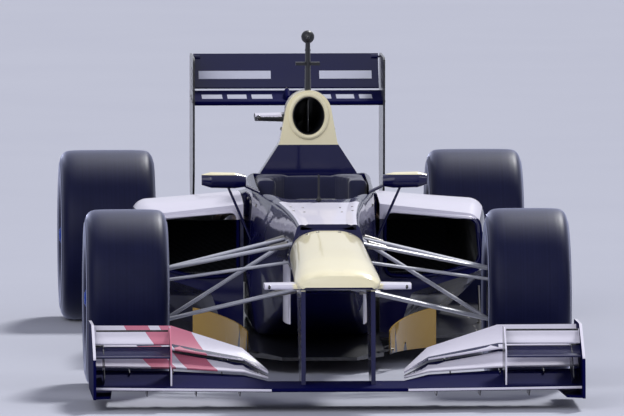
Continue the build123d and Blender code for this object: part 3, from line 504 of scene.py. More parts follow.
# The lowest part of each rear flap and the back of each lower cascade are navy along these lines, a painted
# shade that stands for the dark gaps between the elements.
gap_shade_line = [(0.25, 0.1205), (0.34, 0.171), (0.60, 0.219), (0.89, 0.2225)]
cascade_shade_line = 0.180
for side in (-1, 1):
    for (x_a, z_a), (x_b, z_b) in zip(gap_shade_line, gap_shade_line[1:]):
        centres = [(f, f.calc_center_median()) for f in flaps.faces]
        between = [f for f, centre in centres if x_a < side * centre.x < x_b and centre.y > -2.12]
        cut(flaps, (side * x_a, 0, z_a), (-side * (z_b - z_a), 0, x_b - x_a), between)
cut(flaps, (0, 0, cascade_shade_line), (0, 0, 1), [f for f in flaps.faces if f.calc_center_median().y < -2.2])


def flap_finish(centre, normal):
    """Carbon fins, navy below the lines as painted shade of the gaps, rose in the stripes and white
    elsewhere.
    """
    half = abs(centre.x)
    if 0.605 < half < 0.6175 and abs(normal.x) > 0.5:
        return 2
    limit = curve([x for x, z in gap_shade_line], [z for x, z in gap_shade_line], half)[0]
    low = limit - (0.055 if half > 0.62 else 0.030)
    # Painted shade: navy in the band below each line and on the back of each lower cascade.
    if low < centre.z < limit and centre.y > max(-2.115, -2.15 + 0.9 * (limit - 0.12)):
        return 3
    if centre.y < -2.2 and cascade_shade_line < centre.z < 0.228 and half > 0.62:
        return 3
    slanted = (centre - stripe_point).dot(stripe_way)
    return any(start < slanted < end for start, end in stripe_bands)


paint(flaps, flap_finish)
skin("front_wing_blades", flaps, "white_paint", "front_wing_flaps",
     white_paint, rose_paint, dark_carbon, navy_paint)

flap_trim = bmesh.new()
slabs(flap_trim, (0.884, 0.62), (-2.2185, -2.2165), (0.2775, 0.2845), 0.0004)
for x in (0.40, 0.50, 0.60, 0.69, 0.79):
    slabs(flap_trim, (x - 0.003, x + 0.003), (-2.075, -2.035), (0.148, 0.163), 0.001,
          Matrix.Rotation(math.radians(24), 4, "X"))
piece("flap_trim", flap_trim, "carbon", dark_carbon)

# Front wing endplates: upright carbon plates in satin navy, with a footplate along the lower edge.
# Their upward faces are white, a painted highlight; a short turning fin and a dark wear strip are bolted
# inside each.


def both_studs(shell, places, way, radius, height):
    """Fastener heads at the places and at their mirror images on the car's other side."""
    for side in (1, -1):
        mirrored = [(side * x, y, z) for x, y, z in places]
        studs(shell, mirrored, (side * way[0], way[1], way[2]), radius, height)


endplates = copy_of("front_wing_endplates")
# White on the upward faces above the foot is a painted highlight.
paint(endplates, lambda centre, normal: normal.z > 0.6 and centre.z > 0.06)
skin("front_wing_sides", endplates, "carbon", "front_wing_endplates", satin_navy, white_paint)

endplate_fins = bmesh.new()
fins(endplate_fins, [
    (-2.40, 0.12), (-2.30, 0.20), (-2.20, 0.235), (-2.12, 0.235), (-2.18, 0.13), (-2.30, 0.09)], 0.858)
slabs(endplate_fins, (0.857, 0.8905), (-2.20, -2.16), (0.222, 0.226), 0.0005)
slabs(endplate_fins, (0.85, 0.889), (-2.16, -1.90), (0.041, 0.044), 0.001)
both_studs(endplate_fins, [(0.89, y, 0.075) for y in (-2.32, -2.20, -2.08, -1.96)], (-1, 0, 0), 0.005, 0.003)
piece("endplate_fins", endplate_fins, "carbon", dark_carbon)

# Front suspension: slender carbon wishbones and pushrods lacquered pale grey, in one pair a side.
# The CAD legs keep their shape; forged ends and bonded sleeves are added where they meet the tub.

arm_lacquer = grained("pale_satin_lacquer", {"Coat Weight": 0.5, "Coat Roughness": 0.2}, 45, 5.0,
                      ("#B9BBC8", "#9496A4"), (0.28, 0.5), Roughness=0.6)


def coat(finish, slot, *nodes):
    """Keeps the shape of CAD nodes and gives them a finish."""
    for node in nodes:
        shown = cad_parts[node]
        shown.data.materials.clear()
        shown.data.materials.append(finish)


coat(arm_lacquer, "pale_arms", "front_suspension", "track_rods")


def bar(shell, start, end, radius, end_radius=None, sides=16):
    """Round bar or cone between two points."""
    run = Vector(end) - Vector(start)
    bmesh.ops.create_cone(
        shell, cap_ends=True, segments=sides, radius1=radius, radius2=end_radius or radius,
        depth=run.length, matrix=facing((Vector(start) + Vector(end)) / 2, run))


joint_heights = (0.425, 0.235)


def arm_ends(name, joint_x, joint_y, legs, sleeve, nut):
    """Collars where the legs meet the body and nuts above and below the joints, on both sides of the car.

    A leg is its joint's height and its inner end; a sleeve is its two ends as shares of the leg; a nut is
    its two faces' distances from the joint."""
    shell = bmesh.new()
    for side in (1, -1):
        for joint_z, (x, y, z) in legs:
            inner, outer = Vector((side * x, y, z)), Vector((side * joint_x, joint_y, joint_z))
            bar(shell, inner.lerp(outer, sleeve[0]), inner.lerp(outer, sleeve[1]), 0.0155, 0.0105, 20)
        for joint_z in joint_heights:
            for faces in (nut, (-nut[1], -nut[0])):
                foot, head = [(side * joint_x, joint_y, joint_z + rise) for rise in faces]
                bar(shell, foot, head, 0.010, sides=6)
    piece(name, shell, "alloy", titanium)


arm_ends("front_arm_ends", 0.66, -1.30, [
    (0.425, (0.096, -1.45, 0.548)), (0.425, (0.100, -1.13, 0.548)),
    (0.235, (0.070, -1.445, 0.384)), (0.235, (0.084, -1.11, 0.352))], (0.09, 0.21), (0.024, 0.031))

# Front uprights: carbon brake drums on their knuckles, with a cooling scoop in front.
# Each steers with its wheel. Bolts mark the drum's flange, and small ribs cross the scoop.

coat(dark_carbon, "carbon", "front_upright_left", "front_upright_right")
coat(dark_carbon, "dark_alloy", "rear_uprights")


def turned(shell, centre, axis, profile, steps=64, closed=True):
    """Turned ring or knob; the profile's points are a distance along the axis and a radius."""
    axis = Vector(axis).normalized()
    out = axis.orthogonal().normalized()
    verts = [shell.verts.new(Vector(centre) + axis * along + out * radius) for along, radius in profile]
    ends = verts[1:] + verts[:1] if closed else verts[1:]
    edges = [shell.edges.new(pair) for pair in zip(verts, ends)]
    bmesh.ops.spin(shell, geom=verts + edges, cent=centre, axis=axis, angle=2 * math.pi,
                   steps=steps, use_merge=True)


def round_places(centre, radius, count, start=0.0):
    """Places evenly round a wheel's axis, in the upright plane through its centre."""
    turns = [start + 2 * math.pi * k / count for k in range(count)]
    return [Vector(centre) + Vector((0, radius * math.cos(t), radius * math.sin(t))) for t in turns]


wheel_z = 0.33
axles = {"front": (-1.30, 0.745, 0.155), "rear": (1.85, 0.715, 0.185)}
sides = {1: "left", -1: "right"}
wheels = [(axle, side, *sizes) for axle, sizes in axles.items() for side in sides]


def upright_body(axle, side):
    """The body that carries a wheel."""
    return f"steered_upright_{sides[side]}" if axle == "front" else "chassis"


for axle, side, axle_y, centre_x, half in wheels:
    drum_x = centre_x - (0.055 if axle == "front" else 0.056)
    trim = bmesh.new()
    studs(trim, round_places((side * drum_x, axle_y, wheel_z), 0.128, 12, 0.13), (-side, 0, 0), 0.005, 0.004)
    if axle == "front":
        for z in (wheel_z - 0.02, wheel_z, wheel_z + 0.02):
            slab(trim, (side * 0.604, side * 0.672), (-1.4335, -1.4315), (z - 0.001, z + 0.001))
    piece(f"{axle}_drum_bolts_{sides[side]}", trim, "alloy", titanium, body=upright_body(axle, side))

# Brakes: a drilled carbon disc on each hub inside the drum, and a caliper on the upright.
# Both show between the wheel's spokes.


def wheel_body(axle, side):
    """The body that a wheel spins with."""
    return f"{axle}_wheel_{sides[side]}"


carbon_disc = grained("sintered_carbon_disc", {"Roughness": 0.6, "Metallic": 0.1}, 3, 5.0,
                      ("#34343A", "#1D1D22"))
gold_anodised = bare_metal("gold_anodised_aluminium", "#B08A3E", 0.35, 6)

for axle, side, axle_y, centre_x, half in wheels:
    disc = bmesh.new()
    disc_x = side * (centre_x + 0.036)
    turned(disc, (disc_x, axle_y, wheel_z), (1, 0, 0),
           [(-0.014, 0.072), (-0.014, 0.130), (0.014, 0.130), (0.014, 0.072)], 72)
    for radius in (0.088, 0.101, 0.114):
        for where in round_places((disc_x + side * 0.0143, axle_y, wheel_z), radius, 24, radius * 9):
            bmesh.ops.create_circle(disc, cap_ends=True, segments=8, radius=0.0032,
                                    matrix=facing(where, (side, 0, 0)))
    piece(f"{axle}_brake_disc_{sides[side]}", disc, "carbon", carbon_disc, body=wheel_body(axle, side))
    caliper = bmesh.new()
    slab(caliper, (disc_x - 0.034, disc_x + 0.034), (axle_y + 0.076, axle_y + 0.134),
         (wheel_z - 0.055, wheel_z + 0.055), 0.008)
    piece(f"{axle}_caliper_{sides[side]}", caliper, "alloy", gold_anodised, body=upright_body(axle, side))

# Wheels: forged magnesium with ten windows round a flat outer disc, painted satin dark grey.
# One central nut holds each; the left nuts are red and the right ones blue, as on their hubs.

dark_rim = grained("satin_dark_magnesium", {"Metallic": 0.6, "Coat Weight": 0.4, "Coat Roughness": 0.25},
                   30, 6.0, ("#2E2F35", "#222329"), (0.3, 0.55))
nut_finishes = {
    1: bare_metal("red_anodised_aluminium", "#B3242B", 0.3, 5),
    -1: bare_metal("blue_anodised_aluminium", "#2348A8", 0.3, 5)}

for axle, side, axle_y, centre_x, half in wheels:
    coat(dark_rim, "dark_alloy", f"{axle}_rim_{sides[side]}")
    face_x = centre_x + half - 0.023
    hub, outward = (side * face_x, axle_y, wheel_z), (side, 0, 0)
    nut = bmesh.new()
    turned(nut, hub, outward,
           [(-0.006, 0.020), (-0.006, 0.047), (0.002, 0.047), (0.006, 0.043), (0.006, 0.020)], 48)
    bmesh.ops.create_cone(nut, cap_ends=True, segments=6, radius1=0.034, radius2=0.031, depth=0.016,
                          matrix=facing((side * (face_x + 0.010), axle_y, wheel_z), outward))
    turned(nut, hub, outward, [(0.018, 0.010), (0.018, 0.024), (0.022, 0.022), (0.022, 0.010)], 32)
    piece(f"{axle}_wheel_nut_{sides[side]}", nut, "alloy", nut_finishes[side], body=wheel_body(axle, side),
          crease=25)

# Tyres: wide slicks of a blue black compound, moulded with fine rings round the sidewalls.
# The tread is scrubbed and a shade lighter, in lines that run round it.

tread_radius = 0.33


def slick_rubber(name, axle_y):
    """Slick compound: blue black, with scrubbed lines round the tread and the pale sheen of dust."""
    material, tree, shader, place = surface(name, {
        "Specular IOR Level": 0.15, "Sheen Weight": 1.0, "Sheen Roughness": 0.3,
        "Sheen Tint": linear("#D8DEFF")})
    centred = add(tree, "Mapping", inputs={"Vector": place, "Location": (0.0, -axle_y, -wheel_z)})
    parts = add(tree, "SeparateXYZ", inputs={"Vector": centred.outputs["Vector"]}).outputs
    flat = add(tree, "CombineXYZ", inputs={"Y": parts["Y"], "Z": parts["Z"]}).outputs["Vector"]
    radius = add(tree, "VectorMath", {"operation": "LENGTH"}, {0: flat}).outputs["Value"]
    tread = spread(tree, radius, 0.0, 1.0, tread_radius - 0.010, tread_radius - 0.003)
    lines = add(tree, "TexNoise", {"noise_dimensions": "1D"}, {
        "W": parts["X"], "Scale": per_metre(9), "Detail": 3.0}).outputs["Fac"]
    worn = calc(tree, "MULTIPLY", lines, noise(tree, place, 70, 5.0))
    worn = calc(tree, "MULTIPLY", spread(tree, worn, 0.0, 1.0, 0.12, 0.4), tread)
    grit = noise(tree, place, 2.5, 3.0)
    dress(tree, shader, (worn, "#060A2E", "#0E1236"), spread(tree, tread, 0.42, 0.46), (grit, 0.25, 0.0004))
    return material


def tyre_profile(half):
    """Section of a tyre, half its width given: the outside from bead to bead, then the liner back."""
    seat = half - 0.021
    wall = [
        (seat - 0.016, 0.165), (seat - 0.002, 0.165), (seat, 0.168), (seat, 0.177), (seat + 0.003, 0.184)]
    wall += [(half - inset, radius) for inset, radius in (
        (0.010, 0.192), (0.0065, 0.1975), (0.0065, 0.2005), (0.0055, 0.2015), (0.0045, 0.207),
        (0.002, 0.218), (0.001, 0.228), (0.001, 0.236), (0.0, 0.2375), (0.0, 0.2435), (0.0012, 0.245),
        (0.0012, 0.262), (0.0025, 0.278), (0.0020, 0.2795), (0.0020, 0.2835), (0.004, 0.286),
        (0.0065, 0.298), (0.011, 0.309), (0.018, 0.318), (0.027, 0.3242), (0.040, 0.3275),
        (0.060, 0.3290), (0.090, 0.3297))]
    liner = [(0.0, 0.314), (half - 0.040, 0.313), (half - 0.022, 0.298), (half - 0.014, 0.27),
             (half - 0.014, 0.232), (seat - 0.016, 0.183)]
    outside = wall + [(0.0, tread_radius)] + [(-along, radius) for along, radius in reversed(wall)]
    return outside + [(-along, radius) for along, radius in reversed(liner)] + liner[1:]


for axle, (axle_y, centre_x, half) in axles.items():
    rubber = slick_rubber(f"{axle}_slick_rubber", axle_y)
    for side in sides:
        carcass = bmesh.new()
        turned(carcass, (side * centre_x, axle_y, wheel_z), (1, 0, 0), tyre_profile(half), 128)
        piece(f"{axle}_slick_{sides[side]}", carcass, "tyre", rubber, body=wheel_body(axle, side), crease=50,
              node=f"{axle}_tyre_{sides[side]}")
    for side in sides:
        valve = bmesh.new()
        foot = Vector((side * (centre_x + half - 0.024), axle_y + 0.112, wheel_z + 0.110))
        bar(valve, foot, foot + Vector((side * 0.014, 0, 0)), 0.004)
        piece(f"{axle}_valve_{sides[side]}", valve, "alloy", titanium, body=wheel_body(axle, side))

# Steering: the rack's track rods, the column and a carbon wheel with suede grips.
# The wheel carries a dark screen, rows of coloured knobs and shift paddles behind it.

coat(titanium, "alloy", "steering_column", "rack_brackets")
coat(dark_carbon, "carbon", "steering_wheel")

suede = grained("napped_suede", {"Roughness": 0.95, "Sheen Weight": 0.5, "Sheen Roughness": 0.4}, 5, 6.0,
                ("#23242B", "#15161B"), bump=(0.3, 0.0005))
steering = "steering_wheel_and_column"
wheel_centre = Vector((0.0, -0.49, 0.56))
column_tilt = math.radians(14)
column_way = Vector((0.0, math.cos(column_tilt), math.sin(column_tilt)))
wheel_up = Vector((0.0, -column_way.z, column_way.y))


def on_wheel(x, up, out):
    """A place on the steering wheel: across, up its face, and out of it towards the seat."""
    return wheel_centre + Vector((x, 0, 0)) + wheel_up * up + column_way * out


def wheel_slab(shell, x_span, up_span, out_span, soften):
    """Block on the steering wheel between three pairs of limits, with softened edges."""
    spans = [sorted(span) for span in (x_span, up_span, out_span)]
    wide, tall, deep = [b - a for a, b in spans]
    axes = Matrix((Vector((1, 0, 0)), column_way, wheel_up)).transposed().to_4x4()
    middle = Matrix.Translation(on_wheel(*[(a + b) / 2 for a, b in spans]))
    softened(shell, middle @ axes @ Matrix.Diagonal((wide, deep, tall, 1.0)), soften, 3)


grips = bmesh.new()
for side in (-1, 1):
    wheel_slab(grips, (side * 0.118, side * 0.141), (-0.062, 0.060), (-0.0135, 0.0135), 0.007)
piece("steering_grips", grips, "carbon", suede, body=steering)

screen_glass, tree, shader, place = surface("lit_screen_glass", {
    "Base Color": linear("#10131B"), "Coat Weight": 1.0, "Coat Roughness": 0.03})
across = add(tree, "SeparateXYZ", inputs={"Vector": place}).outputs["X"]
columns = spread(tree, calc(tree, "PINGPONG", across, 0.006), 0.0, 1.0, 0.0045, 0.005)
dress(tree, shader, (columns, "#10131B", "#2F5C74"))

display = bmesh.new()
wheel_slab(display, (-0.045, 0.045), (0.012, 0.048), (0.010, 0.0165), 0.002)
piece("steering_display", display, "carbon", screen_glass, body=steering)

knob_profile = [(0.0, 0.0), (0.0, 0.0062), (0.007, 0.0052), (0.009, 0.0036), (0.009, 0.0)]
for k, code in enumerate(("#C7372E", "#2F7FC4", "#E3B92E", "#3E9B56", "#D8D8DC")):
    moulded = grained(f"moulded_nylon_{k}", {"Roughness": 0.4}, 3, 2.0, (code, code, 0.8))
    knobs = bmesh.new()
    for side in (-1, 1):
        x, up = side * (0.020 + 0.014 * k), -0.012 - 0.026 * ((k + (side > 0)) % 2) - 0.012 * (k // 3)
        turned(knobs, on_wheel(x, up, 0.011), column_way, knob_profile, 20, False)
    piece(f"steering_knobs_{k + 1}", knobs, "carbon", moulded, body=steering)

paddles = bmesh.new()
for side in (-1, 1):
    wheel_slab(paddles, (side * 0.060, side * 0.114), (-0.018, 0.036), (-0.024, -0.020), 0.001)
    wheel_slab(paddles, (side * 0.046, side * 0.062), (0.0, 0.018), (-0.026, -0.012), 0.001)
piece("shift_paddles", paddles, "carbon", dark_carbon, body=steering)

# Seat and collar: a reclined foam seat on the floor of the tub, and a padded collar round the opening.
# Both are trimmed in woven cloth. The seat lies loose and is held by the harness.


def threads(tree, place, way, size_mm, **more):
    """Waves across one axis, with a real width in millimetres."""
    inputs = {"Vector": place, "Scale": per_metre(size_mm) / 6.3, **more}
    return add(tree, "TexWave", {"bands_direction": way}, inputs).outputs["Fac"]


def trim_cloth(name, base, shade, thread_mm=4):
    """Woven trim over foam: soft, with crossing threads drawn coarse enough to show."""
    material, tree, shader, place = surface(name, {
        "Roughness": 0.92, "Sheen Weight": 0.3, "Sheen Roughness": 0.5})
    warp, weft = [threads(tree, place, way, thread_mm) for way in "XZ"]
    cross = calc(tree, "MULTIPLY", warp, weft)
    blend = calc(tree, "MULTIPLY_ADD", cross, 0.5, noise(tree, place, 60, 4.0))
    dress(tree, shader, (blend, shade, base), bump=(cross, 0.35, 0.0006))
    return material


seat_cloth = trim_cloth("dark_seat_cloth", "#2B2D38", "#191A22")
collar_cloth = trim_cloth("navy_collar_cloth", "#23264A", "#151733")


def applied(pad, kind, **settings):
    """Adds a modifier with its settings to a pad and applies it."""
    modifier = pad.modifiers.new(kind, kind)
    for name, value in settings.items():
        setattr(modifier, name, value)
    bpy.ops.object.modifier_apply(modifier=modifier.name)


def soft_copy(name, node, voxel, finish, cap, swell=0.003):
    """A pad over a CAD soft solid: remeshed, puffed up by cloth pressure, and capped in its travel."""
    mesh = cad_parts[node].data.copy()
    mesh.name = name
    pad = bpy.data.objects.new(name, mesh)
    scene.collection.objects.link(pad)
    bpy.context.view_layer.objects.active = pad
    for shown in bpy.context.selected_objects:
        shown.select_set(False)
    pad.select_set(True)
    shell = copy_of(node)
    shell.to_mesh(mesh)
    shell.free()
    applied(pad, "REMESH", mode="VOXEL", voxel_size=voxel)
    applied(pad, "DISPLACE", strength=-swell, mid_level=0.0)
    rest = [v.co.copy() for v in pad.data.vertices]
    cloth = pad.modifiers.new("foam", "CLOTH")
    cloth.settings.use_pressure = True
    cloth.settings.uniform_pressure_force = 4.0
    cloth.settings.effector_weights.gravity = 0.0
    cloth.settings.quality = 4
    for step in range(1, 16):
        scene.frame_set(step)
    bpy.ops.object.modifier_apply(modifier=cloth.name)
    scene.frame_set(1)
    for v, start in zip(pad.data.vertices, rest):
        travel = v.co - start
        if travel.length > cap:
            v.co = start + travel * (cap / travel.length)
    applied(pad, "SMOOTH", factor=0.5, iterations=4)
    for polygon in pad.data.polygons:
        polygon.use_smooth = True
    pad.data.materials.clear()
    pad.data.materials.append(finish)
    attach(pad, "chassis")
    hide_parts(node)


soft_copy("seat_pad", "driver_seat", 0.008, seat_cloth, 0.004)
soft_copy("headrest_pad", "headrest", 0.006, collar_cloth, 0.005)

# Harness: flat belts of polyester webbing that meet at a turned aluminium buckle on the seat.
# The shoulder belts come over the seat back, the lap belts from the floor of the tub.

webbing, tree, shader, place = surface("woven_polyester_webbing", {"Roughness": 0.85, "Sheen Weight": 0.25})
ribs = threads(tree, place, "Y", 5, Distortion=0.4)
dress(tree, shader, (ribs, "#25293F", "#3B4060"), bump=(ribs, 0.4, 0.0005))


def ribbon(shell, points, width_way, width, thickness=0.002):
    """Flat belt through points: an edge that is drawn out from point to point and given a thickness."""
    half = Vector(width_way).normalized() * width / 2
    edge = shell.edges.new([shell.verts.new(Vector(points[0]) + way * half) for way in (-1, 1)])
    faces = []
    for before, here in zip(points, points[1:]):
        grown = bmesh.ops.extrude_edge_only(shell, edges=[edge])["geom"]
        faces += [g for g in grown if isinstance(g, bmesh.types.BMFace)]
        ends = [g for g in grown if isinstance(g, bmesh.types.BMVert)]
        bmesh.ops.translate(shell, verts=ends, vec=Vector(here) - Vector(before))
        edge = next(e for e in shell.edges if set(e.verts) == set(ends))
    bmesh.ops.solidify(shell, geom=faces, thickness=thickness)


shoulder_belt = [(0.075, 0.150, 0.528), (0.075, 0.090, 0.530), (0.074, 0.060, 0.515), (0.070, 0.015, 0.420),
                 (0.058, -0.020, 0.320), (0.040, -0.045, 0.240), (0.022, -0.055, 0.205)]
lap_belt = [(0.205, 0.02, 0.165), (0.165, -0.005, 0.205), (0.110, -0.035, 0.208), (0.030, -0.055, 0.203)]
belts = bmesh.new()
for side in (-1, 1):
    for points, width_way, width in ((shoulder_belt, (1, 0, 0), 0.050), (lap_belt, (0, 1, 0.25), 0.045)):
        ribbon(belts, [(side * x, y, z) for x, y, z in points], width_way, width)
ribbon(belts, [(0.0, -0.165, 0.190), (0.0, -0.120, 0.205), (0.0, -0.06, 0.205)], (1, 0, 0), 0.040)
piece("harness_belts", belts, "foam_pad", webbing, crease=40)

buckle = bmesh.new()
buckle_foot, buckle_way = Vector((0.0, -0.055, 0.203)), Vector((0, -0.35, 1))
turned(buckle, buckle_foot, buckle_way,
       [(0.0, 0.0), (0.0, 0.030), (0.006, 0.032), (0.014, 0.030), (0.017, 0.024), (0.017, 0.0)], 40, False)
bmesh.ops.create_cone(buckle, cap_ends=True, segments=3, radius1=0.020, radius2=0.017, depth=0.008,
                      matrix=facing(buckle_foot + buckle_way.normalized() * 0.020, buckle_way))
piece("harness_buckle", buckle, "alloy", titanium)

# Sidepods: carbon shells in navy paint, with an open mouth in front and a radiator behind it.
# A moulded lip runs round each mouth; the top of each pod and its front above the mouth are white, a painted
# highlight of the sky's glare on the navy.

highlight_low_z = 0.530


def pod_finish(centre, normal):
    """Carbon inside the pod, white as a painted highlight on its top and above its mouth, navy elsewhere."""
    inside_way = Vector((math.copysign(abs(centre.x) - 0.45, centre.x), 0, centre.z - 0.38))
    if centre.y > -0.05 and normal.dot(inside_way) < 0:
        return 1
    return 2 if normal.z > 0.5 or (centre.y < -0.055 and centre.z > highlight_low_z) else 0


for side in sides.values():
    pod = copy_of(f"sidepod_{side}")
    fair(pod, [-0.06, 0.09, 0.25, 0.475, 0.70])
    cut(pod, (0, 0, highlight_low_z), (0, 0, 1), [f for f in pod.faces if f.calc_center_median().y < -0.055])
    pod.normal_update()
    paint(pod, pod_finish)
    skin(f"sidepod_shell_{side}", pod, "navy_paint", f"sidepod_{side}", navy_paint, dark_carbon, white_paint)

mouth = [(0.270, 0.308), (0.434, 0.302), (0.648, 0.354), (0.634, 0.540), (0.270, 0.570)]
mouth_face_y = -0.0602
lip_steps = [
    (0.002, 0.009), (0.004, 0.006), (0.005, 0.001), (0.003, -0.006), (0.001, -0.014), (0.0005, -0.014)]
for side in (-1, 1):
    lip = bmesh.new()
    ring = [lip.verts.new((side * x, mouth_face_y, z)) for x, z in mouth]
    lip.faces.new(ring if side > 0 else ring[::-1])
    bmesh.ops.bevel(lip, geom=ring, offset=0.040, offset_type="OFFSET", segments=8, profile=0.5,
                    affect="VERTICES", clamp_overlap=True, material=-1)
    lip.normal_update()
    for thickness, depth in lip_steps:
        middle = max(lip.faces, key=lambda f: f.calc_area())
        bmesh.ops.inset_region(lip, faces=[middle], thickness=thickness, depth=depth,
                               use_boundary=True, use_even_offset=True)
    bmesh.ops.delete(lip, geom=[max(lip.faces, key=lambda f: f.calc_area())], context="FACES")
    # The lip is white above the same height, as a painted highlight.
    paint(lip, lambda centre, normal: centre.z > highlight_low_z)
    piece(f"sidepod_lip_{sides[side]}", lip, "navy_paint", navy_paint, white_paint, crease=60)

# Radiators: brazed aluminium cores that lean back in the pods, each with rows of tubes and fine fins.
# Black shrouds of carbon close the space round them.

coat(dark_carbon, "alloy", "radiators")
core_finish = bare_metal("brazed_aluminium", "#7C7F86", 0.45, 4)
core_low, core_high = (0.2295, 0.270), (0.4465, 0.490)
tube_count, fin_count = 16, 44
for side in (-1, 1):
    core = bmesh.new()
    for k in range(tube_count):
        y, z = [low + (k + 0.5) / tube_count * (high - low) for low, high in zip(core_low, core_high)]
        slab(core, (side * 0.262, side * 0.522), (y - 0.0045, y + 0.001), (z - 0.0013, z + 0.0013))
    for k in range(fin_count):
        x = side * (0.265 + 0.0058 * k)
        bar(core, (x, core_low[0] - 0.0015, core_low[1] + 0.004),
            (x, core_high[0] - 0.0015, core_high[1] - 0.006), 0.0009, sides=4)
    piece(f"radiator_core_{sides[side]}", core, "alloy", core_finish)

# Engine cover: one carbon shell from the roll hoop back, navy with a primrose band round the air intake.
# Quarter-turn fasteners hold its edge, and a dark moulded duct runs back from the intake.

band_point, band_way = Vector((0.0, 0.36, 0.93)), Vector((0.0, 1.0, -0.55)).normalized()
foot_point, foot_way = Vector((0.0, 0.0, 0.818)), Vector((0, 0.12, 1))


def cover_finish(centre, normal):
    """Carbon inside, primrose ahead of the band's line and above its foot, navy elsewhere."""
    if normal.dot(Vector((centre.x, 0, centre.z - 0.35))) < 0 and centre.y > 0.21:
        return 2
    return (centre - band_point).dot(band_way) < 0 and (centre - foot_point).dot(foot_way) > 0


cover = copy_of("engine_cover")
fair(cover, [0.25, 0.475, 0.70, 0.925, 1.15, 1.425, 1.70], beside="sidepod_left")
cut(cover, band_point, band_way)
cut(cover, foot_point, foot_way)
paint(cover, cover_finish)
cover_shell = skin("engine_cover_shell", cover, "navy_paint", "engine_cover",
                   navy_paint, primrose_paint_and_highlight, dark_carbon)

intake_z = 0.904


def oval_tube(shell, ovals, segments, closed=False):
    """Skin through upright ovals; each is its y, half width, half height and drop below the intake."""
    rings = []
    for y, wide, tall, drop in ovals:
        made = bmesh.ops.create_circle(
            shell, cap_ends=False, segments=segments, radius=1.0,
            matrix=Matrix.Translation((0, y, intake_z - drop)) @ Matrix.Rotation(math.pi / 2, 4, "X")
            @ Matrix.Diagonal((wide, tall, 1, 1)))
        rings.append(list({e for v in made["verts"] for e in v.link_edges}))
    for first, second in zip(rings, rings[1:] + rings[:closed]):
        bmesh.ops.bridge_loops(shell, edges=first + second)


duct = bmesh.new()
oval_tube(duct, [
    (0.1985, 0.0603, 0.0723, 0.0), (0.202, 0.0590, 0.0710, 0.0), (0.26, 0.052, 0.066, 0.004),
    (0.36, 0.044, 0.058, 0.014), (0.50, 0.040, 0.050, 0.040), (0.64, 0.038, 0.044, 0.090)], 48)
bmesh.ops.solidify(duct, geom=list(duct.faces), thickness=0.0025)
piece("intake_duct", duct, "carbon", dark_carbon)

intake_lip = bmesh.new()
oval_tube(intake_lip, [(y, 0.060 + grow, 0.072 + grow, 0.0) for y, grow in (
    (0.2005, 0.0190), (0.1955, 0.0180), (0.1915, 0.0140), (0.1900, 0.0085), (0.1915, 0.0035),
    (0.1960, 0.0008), (0.2050, 0.0002))], 64, True)
piece("intake_lip", intake_lip, "yellow_paint", primrose_paint_and_highlight, crease=60)

duct_splitter = bmesh.new()
slab(duct_splitter, (-0.0015, 0.0015), (0.23, 0.60), (0.842, 0.962), 0.0005)
piece("intake_splitter", duct_splitter, "carbon", dark_carbon)

cover_studs = bmesh.new()
for places, way, radius in (
        ([(0.1, 0.26, 0.850), (0.1, 0.45, 0.84), (0.1, 0.70, 0.81), (0.1, 0.93, 0.76)], (1, 0, 0.3), 0.007),
        ([(x, 0.722, 0.65) for x in (0.25, 0.36, 0.47, 0.58)], (0, 0, 1), 0.007),
        ([(0.7, 0.722, z) for z in (0.24, 0.34, 0.43)], (1, 0, 0), 0.007),
        ([(0.6, y, 0.21) for y in (0.85, 1.05, 1.25, 1.45, 1.64)], (1, 0, -0.3), 0.006)):
    skin_studs(cover_studs, cover_shell, places, way, radius)
piece("cover_fasteners", cover_studs, "alloy", titanium)

# Mirrors: thin carbon shells on two slender stalks each, navy like the tub.
# The glass sits in a shallow frame at the back of the shell; the top of each shell is primrose, a painted
# highlight.

mirror_highlight_z = 0.716
mirror_shells = copy_of("mirrors")
cut(mirror_shells, (0, 0, mirror_highlight_z), (0, 0, 1))
# Primrose above this height is a painted highlight along the top of each shell.
paint(mirror_shells, lambda centre, normal: centre.z > mirror_highlight_z)
skin("mirror_shells", mirror_shells, "navy_paint", "mirrors", navy_paint, primrose_paint_and_highlight)

silvered_glass = grained("silvered_glass", {"Metallic": 1.0, "Base Color": linear("#D9DDE2")}, 20, 2.0,
                         rough=(0.02, 0.07))
mirror_glass = bmesh.new()
slabs(mirror_glass, (0.272, 0.414), (-0.2685, -0.2655), (0.674, 0.716), 0.0012)
piece("mirror_glass", mirror_glass, "alloy", silvered_glass)

# Mast, camera pod and whip aerial: black carbon and moulded plastic on the cover and the tub.
# The pod and the mast's head each look forward through a small dark window.

black_moulding = grained("black_moulded_nylon", {"Specular IOR Level": 0.45}, 1.8, 2.0,
                         ("#17181D", "#202127"), (0.35, 0.5), (0.15, 0.0002))
cameras = copy_of("cameras_and_aerials")
# White on the upward faces of the pod on the car's right is a painted highlight.
paint(cameras, lambda centre, normal: normal.z > 0.3 and centre.x < -0.1)
skin("cameras_and_whip", cameras, "carbon", "cameras_and_aerials", black_moulding, white_paint)

camera_trim = bmesh.new()
ball(camera_trim, (-0.188, 0.2595, 0.893), 0.010)
ball(camera_trim, (0.0, 0.251, 1.2), 0.009)
piece("camera_windows", camera_trim, "carbon", lens_glass)

mast_bands = bmesh.new()
for z, radius in ((1.035, 0.0125), (1.075, 0.0120), (1.150, 0.0108)):
    turned(mast_bands, (0, 0.27, z), (0, 0, 1),
           [(-0.003, radius * 0.6), (-0.003, radius), (0.003, radius), (0.003, radius * 0.6)], 24)
piece("mast_bands", mast_bands, "carbon", black_moulding)

whip_base = bmesh.new()
turned(whip_base, (0, -0.68, 0.645), (0, 0, 1),
       [(0.0, 0.0), (0.0, 0.011), (0.004, 0.011), (0.012, 0.0055), (0.020, 0.0048), (0.020, 0.0)], 24, False)
piece("aerial_base", whip_base, "carbon", black_moulding)

